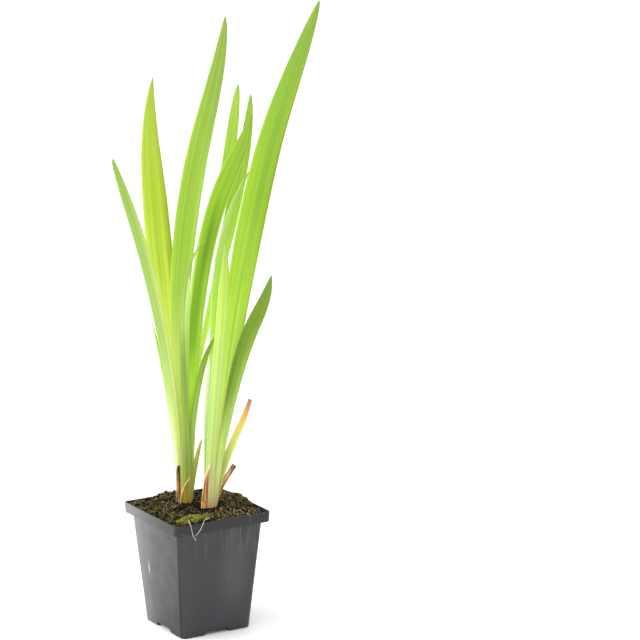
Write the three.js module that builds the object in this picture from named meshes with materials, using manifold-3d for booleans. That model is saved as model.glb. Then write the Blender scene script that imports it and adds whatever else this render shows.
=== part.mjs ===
// A northern blue flag iris, out of flower, in its square nursery pot.
// Millimetres, +Z up. The origin is the middle of the pot's underside, where the pot stands.

import * as THREE from 'three';
import { mergeVertices } from 'three/addons/utils/BufferGeometryUtils.js';
import Module from 'manifold-3d';

const wasm = await Module();
wasm.setup();

// Pot
const POT_HEIGHT = 101.8;
const RIM_WIDTH = 90.6;
const COLLAR_FOOT_WIDTH = 89.6;
const COLLAR_HEIGHT = 8.8;
const WAIST_WIDTH = 80.2;
const BASE_WIDTH = 65.2;
const WALL = 1;
const RIM_CORNER = 3.6;
const WAIST_CORNER = 3.2;
const BASE_CORNER = 5;
const BASE_BEVEL = 1.2;

// Drain notches, one in the middle of each side, with a slot in the roof of each
const NOTCH_WIDTH = 26;
const NOTCH_ROOF_WIDTH = 21;
const NOTCH_HEIGHT = 3.5;
const NOTCH_REACH = 12;
const SLOT_WIDTH = 17;
const SLOT_DEPTH = 6;

// Soil, moss and the space kept between pieces that touch
const GAP = 0.3;
const SOIL_LEVEL = 100.8;
const SOIL_CELL = 4.4;
const FOOT_LEVEL = 93.3;
const HEADROOM = 12;
const HOLE_REACH = 24;
const HOLE_MARGIN = 1.2 * GAP;

// The fans of leaves face a side of their own, turned from the pot's sides
const FAN_TURN = THREE.MathUtils.degToRad(-31.5);

const finishes = {
  plastic: new THREE.MeshStandardMaterial({ color: 0x55565a, roughness: 0.42, metalness: 0 }),
  peat: new THREE.MeshStandardMaterial({ color: 0x33281a, roughness: 1, metalness: 0 }),
  moss: new THREE.MeshStandardMaterial({ color: 0x8a8a3c, roughness: 1, metalness: 0 }),
  leaf: new THREE.MeshStandardMaterial({ color: 0xa3cc48, roughness: 0.5, metalness: 0 }),
  darkLeaf: new THREE.MeshStandardMaterial({ color: 0x86b040, roughness: 0.5, metalness: 0 }),
  dyingLeaf: new THREE.MeshStandardMaterial({ color: 0xe0c060, roughness: 0.7, metalness: 0 }),
  dryLeaf: new THREE.MeshStandardMaterial({ color: 0xa8763a, roughness: 0.9, metalness: 0 }),
  root: new THREE.MeshStandardMaterial({ color: 0xe6e0d0, roughness: 0.6, metalness: 0 }),
};

// Solids

// Skins a row of rings, each of as many points and turning anticlockwise seen from the last one.
// A ring of one point is a tip. The first and the last ring are closed flat.
function loft(rings) {
  const points = rings.flat();
  const faces = [];
  const close = (first, count, flip) => {
    for (let i = 1; i < count - 1; i++) {
      faces.push(...(flip ? [first, first + i + 1, first + i] : [first, first + i, first + i + 1]));
    }
  };
  let start = 0;
  close(0, rings[0].length, true);
  for (let r = 0; r < rings.length - 1; r++) {
    const count = rings[r].length;
    const next = start + count;
    for (let i = 0; i < count; i++) {
      const j = (i + 1) % count;
      if (rings[r + 1].length === 1) {
        faces.push(start + i, start + j, next);
      } else {
        faces.push(start + i, start + j, next + j, start + i, next + j, next + i);
      }
    }
    start = next;
  }
  close(start, rings.at(-1).length, false);
  const geometry = new THREE.BufferGeometry().setFromPoints(points);
  geometry.setIndex(faces);
  return geometry;
}

function toSolid(geometry) {
  const bare = geometry.clone();
  bare.deleteAttribute('normal');
  bare.deleteAttribute('uv');
  const merged = mergeVertices(bare, 1e-4);
  const vertProperties = new Float32Array(merged.getAttribute('position').array);
  const triVerts = new Uint32Array(merged.index.array);
  return new wasm.Manifold(new wasm.Mesh({ numProp: 3, vertProperties, triVerts }));
}

function toGeometry(solid) {
  const mesh = solid.getMesh();
  const geometry = new THREE.BufferGeometry();
  geometry.setAttribute('position', new THREE.BufferAttribute(new Float32Array(mesh.vertProperties), 3));
  geometry.setIndex(new THREE.BufferAttribute(new Uint32Array(mesh.triVerts), 1));
  return geometry;
}

function addPiece(parent, name, geometry, finish) {
  const piece = new THREE.Mesh(geometry, finish);
  piece.name = name;
  parent.add(piece);
}

// A square ring with rounded corners, level at height z.
function squareRing(width, corner, z) {
  const arcSteps = 4;
  const ring = [];
  for (let side = 0; side < 4; side++) {
    const signX = side === 0 || side === 3 ? 1 : -1;
    const signY = side < 2 ? 1 : -1;
    for (let i = 0; i <= arcSteps; i++) {
      const angle = (side + i / arcSteps) * Math.PI / 2;
      const x = signX * (width / 2 - corner) + corner * Math.cos(angle);
      const y = signY * (width / 2 - corner) + corner * Math.sin(angle);
      ring.push(new THREE.Vector3(x, y, z));
    }
  }
  return ring;
}

// Pot

const collarFoot = POT_HEIGHT - COLLAR_HEIGHT;

function potOutside() {
  return loft([
    squareRing(BASE_WIDTH - 2 * BASE_BEVEL, BASE_CORNER - BASE_BEVEL, 0),
    squareRing(BASE_WIDTH, BASE_CORNER, BASE_BEVEL),
    squareRing(WAIST_WIDTH, WAIST_CORNER, collarFoot),
    squareRing(COLLAR_FOOT_WIDTH, RIM_CORNER, collarFoot),
    squareRing(RIM_WIDTH, RIM_CORNER, POT_HEIGHT),
  ]);
}

// The space inside the pot, smaller by a margin all round, up to a level over the rim.
function potInside(margin, top) {
  const inset = 2 * (WALL + margin);
  const corner = WALL + margin;
  return loft([
    squareRing(BASE_WIDTH - inset, BASE_CORNER - corner, WALL + margin),
    squareRing(WAIST_WIDTH - inset, WAIST_CORNER - corner, collarFoot + WALL + margin),
    squareRing(COLLAR_FOOT_WIDTH - inset, RIM_CORNER - corner, collarFoot + WALL + margin),
    squareRing(RIM_WIDTH - inset, RIM_CORNER - corner, POT_HEIGHT),
    squareRing(RIM_WIDTH - inset, RIM_CORNER - corner, top),
  ]);
}

// A notch in the foot of the side that faces +Y, grown by a margin, then turned to its side.
function notch(side, margin) {
  const foot = NOTCH_WIDTH / 2 + margin;
  const roof = NOTCH_ROOF_WIDTH / 2 + margin;
  const outline = new THREE.Shape([
    new THREE.Vector2(-foot, -1),
    new THREE.Vector2(foot, -1),
    new THREE.Vector2(roof, NOTCH_HEIGHT + margin),
    new THREE.Vector2(-roof, NOTCH_HEIGHT + margin),
  ]);
  const depth = NOTCH_REACH + margin + 2;
  const block = new THREE.ExtrudeGeometry(outline, { depth, bevelEnabled: false });
  block.rotateX(Math.PI / 2);
  block.translate(0, BASE_WIDTH / 2 + 2, 0);
  block.rotateZ(side * Math.PI / 2);
  return toSolid(block);
}

function slot(side) {
  const block = new THREE.BoxGeometry(SLOT_WIDTH, SLOT_DEPTH, 3 * WALL);
  block.translate(0, BASE_WIDTH / 2 - NOTCH_REACH + SLOT_DEPTH / 2 + 1, NOTCH_HEIGHT + WALL / 2);
  block.rotateZ(side * Math.PI / 2);
  return toSolid(block);
}

function makePot() {
  let body = toSolid(potOutside());
  let hollow = toSolid(potInside(0, POT_HEIGHT + 1));
  for (let side = 0; side < 4; side++) {
    body = body.subtract(notch(side, 0));
    hollow = hollow.subtract(notch(side, WALL));
  }
  let pot = body.subtract(hollow);
  for (let side = 0; side < 4; side++) {
    pot = pot.subtract(slot(side));
  }
  return toGeometry(pot);
}

// Leaves

// Each leaf is a sword-shaped blade on a cubic curve: foot, two handles and tip, as
// [across the fan, away from the viewer, up]. The blade is footWidth wide at the soil and
// width at the share `widest` of its length. fill shapes the blade below that, point above
// it: 1 is a slender tip and 0.5 a full one. cut is the width of a tip that was cut off, skew
// how far the blade near the tip leans to one side, as a share of its half width, and turn how
// far the face has turned at the tip, in degrees.
const leaves = [
  {
    name: 'leaf_left_outer', finish: 'leaf', foot: [-12.6, 2.6], lower: [-13.2, 2.4, 185.3], upper: [-31, 0, 302.3],
    tip: [-64.8, -14, 397.3], footWidth: 5, width: 9.6, widest: 0.72, fill: 0.7, point: 0.5, skew: -0.3, turn: 22,
  },
  {
    name: 'leaf_left_sliver', finish: 'leaf', foot: [-14.4, 3.9], lower: [-15, 3.8, 151.3], upper: [-25, 3.4, 216.3],
    tip: [-36, 1, 261.3], footWidth: 3, width: 3.6, widest: 0.6, fill: 1, point: 0.8, turn: 0,
  },
  {
    name: 'leaf_left_broad', finish: 'leaf', foot: [-11.8, 6.6], lower: [-14.8, 13, 237], upper: [-43.1, 26, 363.3],
    tip: [-34, 34, 457.3], footWidth: 4.8, width: 21.2, widest: 0.64, fill: 1, point: 0.85, skew: -0.25, turn: 20,
  },
  {
    name: 'leaf_left_tall', finish: 'leaf', foot: [-11.4, 5.2], lower: [-26, 8, 348.7], upper: [8.5, 12, 398.8],
    tip: [26, 14, 509.3], footWidth: 4.8, width: 19.1, widest: 0.63, fill: 1, point: 0.62, skew: 0.35, turn: -24,
  },
  {
    name: 'leaf_left_inner', finish: 'leaf', foot: [-7.2, 3], lower: [-7.4, 6, 377.3], upper: [34.8, 6, 371.3],
    tip: [47, 2, 431.3], footWidth: 3.6, width: 14.4, widest: 0.8, fill: 0.5, point: 0.8, turn: -14,
  },
  {
    name: 'leaf_left_spear', finish: 'leaf', foot: [-7, 8.2], lower: [-17.4, 15, 204.6], upper: [30, 18, 294.6],
    tip: [46, 22, 444.5], footWidth: 3.6, width: 12, widest: 0.76, fill: 4, point: 0.6, skew: 0.3, turn: 26,
  },
  {
    name: 'leaf_left_back', finish: 'leaf', foot: [-6.6, 9.7], lower: [2.3, 32, 394.9], upper: [17.8, 33, 278.5],
    tip: [35.6, 44, 449.3], footWidth: 4, width: 10.4, widest: 0.84, fill: 0.6, point: 0.55, skew: -0.2, turn: -24,
  },
  {
    name: 'leaf_left_curled', finish: 'darkLeaf', foot: [-9.6, -1.2], lower: [-3, -2, 212.3], upper: [-25, -5, 296.3],
    tip: [10, -9, 330.3], footWidth: 8.6, width: 3.8, widest: 0.66, fill: 1, point: 0.8, turn: 12,
  },
  {
    name: 'leaf_left_thin', finish: 'leaf', foot: [-10.4, 1.4], lower: [-8.4, 1.8, 164.3], upper: [-10.4, 1, 225.3],
    tip: [-4, 0, 299.3], footWidth: 3.4, width: 6.2, widest: 0.6, fill: 1, point: 0.7, turn: 0,
  },
  {
    name: 'leaf_left_arching', finish: 'darkLeaf', foot: [-6, 0.4], lower: [-6, 0.4, 140.3], upper: [-3, 0, 214.3],
    tip: [16, -5, 247.3], footWidth: 4.4, width: 5.2, widest: 0.8, fill: 1, point: 0.6, turn: 14,
  },
  {
    name: 'leaf_left_young', finish: 'darkLeaf', foot: [-5, 1.9], lower: [-7, 1.9, 107.3], upper: [0, 1.6, 147.3],
    tip: [5, 0, 160.3], footWidth: 3, width: 4.2, widest: 0.58, fill: 1, point: 0.6, turn: 0,
  },
  {
    name: 'sheath_left_torn', finish: 'dryLeaf', foot: [-12, -2.9], lower: [-14.5, -3, 109.3], upper: [-12, -3.4, 118.3],
    tip: [-5, -5, 128.3], footWidth: 3.2, width: 2.4, widest: 0.5, fill: 1, point: 0.9, turn: 0,
  },
  {
    name: 'stub_left_brown', finish: 'dryLeaf', foot: [-15.4, 1.2], lower: [-15.6, 1.2, 107.3], upper: [-15.6, 1.1, 121.3],
    tip: [-15, 1, 136.3], footWidth: 3.4, width: 3.8, widest: 0.5, fill: 1, point: 1, cut: 2.6, turn: 0,
  },
  {
    name: 'leaf_right_tall', finish: 'leaf', foot: [12, -7], lower: [25.4, -7, 234], upper: [47.3, -9, 405.5],
    tip: [102, -16, 525.6], footWidth: 6, width: 22, widest: 0.58, fill: 0.87, point: 0.62, skew: 0.5, turn: -20,
  },
  {
    name: 'leaf_right_short', finish: 'darkLeaf', foot: [12.9, -8.4], lower: [34.6, -9.5, 264.3], upper: [50, -13, 250.3],
    tip: [63.2, -26, 304.3], footWidth: 4.4, width: 13.4, widest: 0.78, fill: 1.4, point: 0.85, skew: 0.2, turn: 24,
  },
  {
    name: 'leaf_right_pale', finish: 'leaf', foot: [10.9, -9.8], lower: [11.7, -11.5, 191.3], upper: [26, -15, 265.3],
    tip: [26, -22, 332.3], footWidth: 6.8, width: 9.4, widest: 0.78, fill: 0.4, point: 1.05, turn: -12,
  },
  {
    name: 'leaf_right_narrow', finish: 'leaf', foot: [7.8, -8.4], lower: [10, -8.6, 142.3], upper: [8.8, -9.4, 189.3],
    tip: [12, -12, 235.3], footWidth: 4.2, width: 5.6, widest: 0.6, fill: 1, point: 0.55, turn: 0,
  },
  {
    name: 'leaf_right_slim', finish: 'leaf', foot: [10, -5.6], lower: [21.4, -2.6, 236.8], upper: [1.8, 0, 310],
    tip: [46, 4, 385.3], footWidth: 4, width: 6, widest: 0.7, fill: 1, point: 0.7, turn: 14,
  },
  {
    name: 'leaf_right_dying', finish: 'dyingLeaf', foot: [14.4, -5.6], lower: [17.6, -5.2, 143.3], upper: [38, -5.4, 167.3],
    tip: [45, -6.4, 195.3], footWidth: 3.2, width: 6.4, widest: 0.48, fill: 1, point: 0.8, cut: 3.2, turn: -10,
  },
  {
    name: 'stub_right_cut', finish: 'dryLeaf', foot: [14.6, -4.2], lower: [12.8, -4, 109.3], upper: [24.8, -4, 123.3],
    tip: [31.8, -4.2, 138.6], footWidth: 4, width: 4.4, widest: 0.9, fill: 1, point: 1, cut: 4.2, turn: 0,
  },
  {
    name: 'sheath_right_brown', finish: 'dryLeaf', foot: [6.4, -11.2], lower: [7.6, -11.3, 109.3], upper: [7, -11.6, 125.3],
    tip: [12, -12.6, 142.3], footWidth: 6.4, width: 4.6, widest: 0.72, fill: 1, point: 0.8, turn: 0,
  },
];

const FOOT_THICKNESS = 1.05;
const TIP_THICKNESS = 0.45;
const LONG_LEAF = 200;
const TIP_CROWDING = 1.35;
const TURN_DELAY = 1.5;
const SKEW_START = 0.7;

const smooth = (x) => x * x * (3 - 2 * x);

function leafWidth(leaf, share) {
  if (share < leaf.widest) {
    return leaf.footWidth + (leaf.width - leaf.footWidth) * smooth(share / leaf.widest) ** leaf.fill;
  }
  const left = (1 - share) / (1 - leaf.widest);
  const cut = leaf.cut ?? 0;
  return cut + (leaf.width - cut) * (1 - (1 - left) ** 2) ** leaf.point;
}

function leafLine(leaf) {
  const [x, y] = leaf.foot;
  return new THREE.CubicBezierCurve3(
    new THREE.Vector3(x, y, FOOT_LEVEL),
    new THREE.Vector3(...leaf.lower),
    new THREE.Vector3(...leaf.upper),
    new THREE.Vector3(...leaf.tip),
  );
}

// The blade's cross directions at a share of its length: across its face and through it.
function leafFrame(line, leaf, share) {
  const along = line.getTangentAt(share);
  const turn = THREE.MathUtils.degToRad(leaf.turn * share ** TURN_DELAY);
  const across = new THREE.Vector3(Math.cos(turn), Math.sin(turn), 0);
  across.addScaledVector(along, -across.dot(along)).normalize();
  return { across, through: new THREE.Vector3().crossVectors(along, across) };
}

// How far the blade has leant to one side of its middle line, in millimetres.
function leafSkew(leaf, share) {
  const late = Math.max(0, (share - SKEW_START) / (1 - SKEW_START));
  return (leaf.skew ?? 0) * smooth(late) * leafWidth(leaf, share) / 2;
}

// Places [across, through] pairs around the leaf's middle line.
function leafRing(line, leaf, share, outline) {
  const { across, through } = leafFrame(line, leaf, share);
  const centre = line.getPointAt(share).addScaledVector(across, leafSkew(leaf, share));
  return outline.map(([a, t]) => centre.clone().addScaledVector(across, a).addScaledVector(through, t));
}

function leafBlade(leaf) {
  const line = leafLine(leaf);
  const steps = line.getLength() > LONG_LEAF ? 22 : 12;
  const rings = [];
  for (let i = 0; i <= steps; i++) {
    const share = 1 - (1 - i / steps) ** TIP_CROWDING;
    const edge = leafWidth(leaf, share) / 2;
    const half = THREE.MathUtils.lerp(FOOT_THICKNESS, TIP_THICKNESS, share) / 2;
    const shoulder = 0.5 * edge;
    if (edge < 0.05) {
      rings.push([line.getPointAt(share)]);
    } else {
      rings.push(leafRing(line, leaf, share, [
        [edge, 0], [shoulder, half], [-shoulder, half], [-edge, 0], [-shoulder, -half], [shoulder, -half],
      ]));
    }
  }
  return loft(rings);
}

// The hole that a leaf's foot leaves in the soil.
function leafHole(leaf) {
  const line = leafLine(leaf);
  const reach = HOLE_REACH / line.getLength();
  const rings = [];
  for (let i = 0; i <= 3; i++) {
    const share = reach * i / 3;
    const edge = leafWidth(leaf, share) / 2 + HOLE_MARGIN;
    const half = FOOT_THICKNESS / 2 + HOLE_MARGIN;
    rings.push(leafRing(line, leaf, share, [[edge, half], [-edge, half], [-edge, -half], [edge, -half]]));
  }
  rings[0].forEach((point) => { point.z -= GAP; });
  const hole = loft(rings);
  hole.rotateZ(FAN_TURN);
  return toSolid(hole);
}

// Soil and moss

// Heaps and dips in the soil: [x, y, height, spread].
const heaps = [
  [-7, 8, 5, 12],
  [6, -12, 2.6, 11],
  [34, 2, 4.6, 17],
  [-3, 41, 3.5, 14],
  [-24, -24, 1.2, 12],
  [40, -40, -5, 12],
  [-41, 41, -3, 10],
  [26, -20, 1, 9],
];

function soilHeight(x, y) {
  let height = SOIL_LEVEL;
  for (const [heapX, heapY, rise, spread] of heaps) {
    const away = Math.hypot(x - heapX, y - heapY) / spread;
    height += rise * Math.exp(-away * away);
  }
  const crumbs = 0.5 * Math.sin(0.9 * x + 0.4 * y) * Math.sin(0.8 * y - 0.3 * x + 1);
  return height + crumbs;
}

// A block whose top is the soil's surface, raised by a lift.
function soilBlock(lift) {
  const cells = Math.round(RIM_WIDTH / SOIL_CELL);
  const block = new THREE.BoxGeometry(RIM_WIDTH + 4, RIM_WIDTH + 4, POT_HEIGHT, cells, cells, 1);
  block.translate(0, 0, POT_HEIGHT / 2);
  const place = block.getAttribute('position');
  for (let i = 0; i < place.count; i++) {
    if (place.getZ(i) > POT_HEIGHT / 2) {
      place.setZ(i, soilHeight(place.getX(i), place.getY(i)) + lift);
    }
  }
  return toSolid(block);
}

const holes = leaves.map(leafHole);

function makeSoil() {
  let soil = soilBlock(0).intersect(toSolid(potInside(GAP, POT_HEIGHT + HEADROOM)));
  for (let side = 0; side < 4; side++) {
    soil = soil.subtract(notch(side, WALL + GAP));
  }
  for (const hole of holes) {
    soil = soil.subtract(hole);
  }
  return toGeometry(soil);
}

// Moss cushions that lie on the soil: [name, x, y, half width, half depth, height].
const mossCushions = [
  ['moss_front', -23, -35.5, 15, 6.5, 3],
  ['moss_left', -37, 36, 6, 7, 2.2],
  ['moss_back', 37, -8, 6, 10, 2],
];

function makeMoss([, x, y, halfWidth, halfDepth, height]) {
  const ball = new THREE.SphereGeometry(1, 16, 10);
  ball.rotateX(Math.PI / 2);
  ball.scale(halfWidth, halfDepth, height);
  ball.translate(x, y, soilHeight(x, y));
  let cushion = toSolid(ball).subtract(soilBlock(GAP));
  cushion = cushion.intersect(toSolid(potInside(GAP, POT_HEIGHT + HEADROOM)));
  return toGeometry(cushion);
}

// Two stray roots hang over the rim on the pot's -Y side.
const ROOT_THICKNESS = 0.7;
const strayRoots = [
  ['stray_root_long', [
    [-31.1, -42, 104.6], [-31.9, -44.2, 104.5], [-31.9, -46, 102.9], [-31.3, -46.4, 100.5],
    [-30.8, -46.4, 97.9], [-30.2, -46.3, 95.2], [-29.2, -46, 92.3], [-27.8, -45.8, 89.8], [-26.2, -45.6, 88.1],
  ]],
  ['stray_root_short', [
    [-11.4, -40.6, 103.6], [-14.6, -42.6, 104], [-17.8, -44.4, 103.4], [-19.6, -46, 101.8], [-21.1, -46.4, 99.4],
    [-22.3, -46.5, 97.3], [-24.1, -46.6, 95.2], [-26.4, -47, 93.6], [-27.6, -47.3, 92.9],
  ]],
];

function makeRoot(route) {
  const line = new THREE.CatmullRomCurve3(route.map((point) => new THREE.Vector3(...point)));
  const outline = new THREE.Shape();
  outline.absarc(0, 0, ROOT_THICKNESS / 2, 0, 2 * Math.PI);
  return new THREE.ExtrudeGeometry(outline, { steps: 20, curveSegments: 3, extrudePath: line });
}

// The whole plant

const plant = new THREE.Group();
addPiece(plant, 'pot', makePot(), finishes.plastic);
addPiece(plant, 'soil', makeSoil(), finishes.peat);
for (const cushion of mossCushions) {
  addPiece(plant, cushion[0], makeMoss(cushion), finishes.moss);
}
const fans = new THREE.Group();
fans.rotation.z = FAN_TURN;
for (const leaf of leaves) {
  addPiece(fans, leaf.name, leafBlade(leaf), finishes[leaf.finish]);
}
plant.add(fans);
for (const [name, route] of strayRoots) {
  addPiece(plant, name, makeRoot(route), finishes.root);
}

export default plant;
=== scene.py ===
# %% [markdown]
# # A northern blue flag iris in its nursery pot
#
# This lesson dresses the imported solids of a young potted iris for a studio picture. The solids
# give every place and size. Here each one gets the surface that a gardener would know: a moulded
# pot with scuffed sides, crumbly peat with moss on it, and sword leaves with fine veins.
#
# All places are in millimetres in the lists and become metres when they reach Blender.

# %% Load the frame
import math
import random

import bmesh
import bpy
import numpy as np
from mathutils import Euler, Matrix, Vector, noise


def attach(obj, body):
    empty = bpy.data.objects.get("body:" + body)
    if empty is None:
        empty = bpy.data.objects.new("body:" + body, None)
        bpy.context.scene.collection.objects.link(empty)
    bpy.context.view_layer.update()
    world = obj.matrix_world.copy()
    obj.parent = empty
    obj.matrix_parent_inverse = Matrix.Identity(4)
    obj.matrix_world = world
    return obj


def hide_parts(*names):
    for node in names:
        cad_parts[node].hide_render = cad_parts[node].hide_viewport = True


MM = 0.001
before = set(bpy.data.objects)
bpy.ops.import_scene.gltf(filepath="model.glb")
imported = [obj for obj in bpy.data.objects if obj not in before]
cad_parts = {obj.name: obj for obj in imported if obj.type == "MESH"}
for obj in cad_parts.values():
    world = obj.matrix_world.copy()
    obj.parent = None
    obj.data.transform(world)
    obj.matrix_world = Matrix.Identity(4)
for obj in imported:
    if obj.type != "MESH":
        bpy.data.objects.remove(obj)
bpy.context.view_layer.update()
print("solids in the frame:", len(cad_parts))

# %% [markdown]
# ## The studio
#
# The photograph looks at the front corner of the pot from a little above, with a long lens, so
# the camera stands 2.5 m away. The plant stands on a white floor in a white room. A large soft
# window lights it from the left, and a small bright card hangs close to the pot's left side,
# where the plastic mirrors it.

# %% Camera, floor and light
VIEW_TURN = math.radians(-31.5)
VIEW_FALL = math.radians(12.72)
CAMERA_PLACE = (-1.1677, -2.1018, 0.803)
CAMERA_LENS = 168.75
CAMERA_SENSOR = 36
ROOM_LIGHT = 1.25
WHITE = (1.0, 1.0, 1.0, 1.0)


def aim(location, target):
    """The rotation that points a lamp or camera at location towards target."""
    return (Vector(target) - Vector(location)).to_track_quat("-Z", "Y").to_euler()


bpy.ops.object.select_all(action="DESELECT")
bpy.ops.object.camera_add(
    location=CAMERA_PLACE,
    rotation=(math.pi / 2 - VIEW_FALL, 0, VIEW_TURN),
)
camera = bpy.context.object
camera.data.lens = CAMERA_LENS
camera.data.sensor_width = CAMERA_SENSOR
bpy.context.scene.camera = camera

room = bpy.data.worlds.new("white_room")
bpy.context.scene.world = room
room.use_nodes = True
room.node_tree.nodes["Background"].inputs["Color"].default_value = WHITE
room.node_tree.nodes["Background"].inputs["Strength"].default_value = ROOM_LIGHT
bpy.context.scene.view_settings.view_transform = "Standard"

PLANT_MIDDLE = (0.0, 0.0, 0.2)


def hang_window(name, location, width, height, power):
    """A soft rectangular lamp that faces the plant."""
    bpy.ops.object.light_add(type="AREA", location=location, rotation=aim(location, PLANT_MIDDLE))
    lamp = bpy.context.object
    lamp.name = name
    lamp.data.shape = "RECTANGLE"
    lamp.data.size = width
    lamp.data.size_y = height
    lamp.data.energy = power
    lamp.visible_camera = False
    return lamp


hang_window("left_window", (-1.5, 0.5, 0.7), 1.2, 1.2, 22)
hang_window("near_left_card", (-0.55, 0.38, 0.2), 0.35, 0.5, 1.0)

bpy.ops.mesh.primitive_plane_add(size=40)
floor = bpy.context.object
floor.name = "white_floor"
print("camera, window, card and floor are in place")

# %% [markdown]
# ## Tools for materials
#
# A material is a small network of nodes. These helpers add a node and wire it in one line, so
# that each recipe further down reads like a list of layers. Colours are given as on a screen,
# from 0 to 255, and turned into the linear values that Blender mixes.

# %% Node helpers
def linear(colour, gain=1.0):
    """A screen colour from 0 to 255 as linear red, green, blue and 1."""
    parts = [part / 255 for part in colour]
    parts = [part / 12.92 if part < 0.04045 else ((part + 0.055) / 1.055) ** 2.4 for part in parts]
    return (*[min(1.0, part * gain) for part in parts], 1.0)


class Recipe:
    """A new material with a Principled shader, and short ways to wire nodes to it."""

    def __init__(self, name, roughness=0.5, specular=0.5):
        self.material = bpy.data.materials.new(name)
        self.material.use_nodes = True
        self.tree = self.material.node_tree
        self.shader = self.tree.nodes["Principled BSDF"]
        self.shader.inputs["Roughness"].default_value = roughness
        self.shader.inputs["Specular IOR Level"].default_value = specular
        self.out = self.tree.nodes["Material Output"]
        self.coords = self.tree.nodes.new("ShaderNodeTexCoord")
        self.place = self.coords.outputs["Object"]

    def wire(self, value, socket):
        if isinstance(value, bpy.types.NodeSocket):
            self.tree.links.new(value, socket)
        else:
            socket.default_value = value

    def math(self, operation, first, second=0.0, clamp=False):
        made = self.tree.nodes.new("ShaderNodeMath")
        made.operation = operation
        made.use_clamp = clamp
        self.wire(first, made.inputs[0])
        self.wire(second, made.inputs[1])
        return made.outputs[0]

    def times(self, first, second, clamp=False):
        return self.math("MULTIPLY", first, second, clamp)

    def mix(self, factor, first, second):
        made = self.tree.nodes.new("ShaderNodeMix")
        made.data_type = "RGBA"
        self.wire(factor, made.inputs[0])
        self.wire(first, made.inputs[6])
        self.wire(second, made.inputs[7])
        return made.outputs[2]

    def split(self, vector):
        made = self.tree.nodes.new("ShaderNodeSeparateXYZ")
        self.wire(vector, made.inputs[0])
        return made.outputs

    def join(self, x, y, z):
        made = self.tree.nodes.new("ShaderNodeCombineXYZ")
        for value, socket in zip((x, y, z), made.inputs):
            self.wire(value, socket)
        return made.outputs[0]

    def stretch(self, vector, scale, shift=(0.0, 0.0, 0.0)):
        made = self.tree.nodes.new("ShaderNodeMapping")
        self.wire(vector, made.inputs["Vector"])
        made.inputs["Scale"].default_value = scale
        made.inputs["Location"].default_value = shift
        return made.outputs[0]

    def noise(self, vector, scale, detail=3.0, roughness=0.5):
        made = self.tree.nodes.new("ShaderNodeTexNoise")
        self.wire(vector, made.inputs["Vector"])
        made.inputs["Scale"].default_value = scale
        made.inputs["Detail"].default_value = detail
        made.inputs["Roughness"].default_value = roughness
        return made.outputs[0]

    def ramp(self, factor, stops):
        """Stops are (place, value), where value is a number or a linear colour."""
        made = self.tree.nodes.new("ShaderNodeValToRGB")
        self.wire(factor, made.inputs[0])
        elements = made.color_ramp.elements
        while len(elements) < len(stops):
            elements.new(0.5)
        for element, (place, value) in zip(elements, stops):
            element.position = place
            element.color = (value, value, value, 1) if isinstance(value, float) else value
        return made.outputs[0]

    def reach(self, vector, middle, half):
        """The distance from a middle, as a share of a half size; both are in millimetres."""
        made = self.tree.nodes.new("ShaderNodeVectorMath")
        made.operation = "LENGTH"
        scale = [1 / (size * MM) for size in half]
        shift = [-place / size for place, size in zip(middle, half)]
        self.wire(self.stretch(vector, scale, shift), made.inputs[0])
        return made.outputs["Value"]

    def patch(self, vector, middle, half, strength=1.0):
        """Full strength in the middle of an ellipsoid and 0 outside it."""
        return self.ramp(self.reach(vector, middle, half), [(0.3, strength), (1.0, 0.0)])

    def attribute(self, name):
        made = self.tree.nodes.new("ShaderNodeAttribute")
        made.attribute_name = name
        return made.outputs["Fac"]

    def bump(self, height, strength, distance):
        made = self.tree.nodes.new("ShaderNodeBump")
        made.inputs["Strength"].default_value = strength
        made.inputs["Distance"].default_value = distance
        self.wire(height, made.inputs["Height"])
        self.wire(made.outputs[0], self.shader.inputs["Normal"])

    def colour(self, value):
        self.wire(value, self.shader.inputs["Base Color"])

    def rough(self, value):
        self.wire(value, self.shader.inputs["Roughness"])

    def glow_through(self, share, colour):
        """Lets this share of the light through the blade, in the given colour."""
        thin = self.tree.nodes.new("ShaderNodeBsdfTranslucent")
        blend = self.tree.nodes.new("ShaderNodeMixShader")
        self.wire(colour, thin.inputs["Color"])
        blend.inputs[0].default_value = share
        self.wire(self.shader.outputs[0], blend.inputs[1])
        self.wire(thin.outputs[0], blend.inputs[2])
        self.wire(blend.outputs[0], self.out.inputs["Surface"])


floor_recipe = Recipe("white_paper_floor", roughness=0.9, specular=0.1)
floor_recipe.colour(WHITE)
floor.data.materials.append(floor_recipe.material)
print("node helpers ready")

# %% [markdown]
# ## The pot's plastic
#
# Nursery pots are pressed from recycled black plastic. The skin is satin and nearly even. Fine
# upright drag marks run down from the collar, where pots rub when they are pulled out of a stack.
# They come from noise that is stretched upwards, behind a mask by height that ends in a ragged
# edge. The left side has none: beside the front corner a painted shade makes it nearly black,
# towards its back edge a painted light makes it paler, and its collar is a little paler too. It has
# one painted highlight, a glint on a small dent, and three dark spots of painted shade in moulding
# dimples. The front side's collar is darker. A few handling scuffs lie flat across the front side,
# and specks of dust are strewn over all of it.
#
# Each mark in the list has a middle, half sizes and a strength. Masks are made first, from the
# place on the pot, and then the layers of colour are laid one over the other.

# %% Places of the marks
PALE_MARKS_AND_HIGHLIGHT = [
    # The first mark is a painted highlight, a glint on a small dent in the left side; the others are
    # pale marks on the front side.
    ((-37, 17, 50), (3, 0.8, 7), 0.9),
    ((-25, -39, 45), (6, 3, 0.7), 0.16),
    ((-18, -39, 46.4), (4, 3, 0.5), 0.14),
    ((0, -39, 48.6), (5, 3, 0.7), 0.16),
    ((-31, -36, 14.5), (0.6, 3, 0.8), 0.7),
]
# Painted shade: three dark spots stand for the shade inside small moulding dimples.
PAINTED_SHADE_DIMPLES = [(-33, 16, 5), (-33, 5, 9.5), (-34, 20, 20.5)]
SHARES_PER_METRE = 10.0
SIDE_SHARPNESS = 900.0


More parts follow.
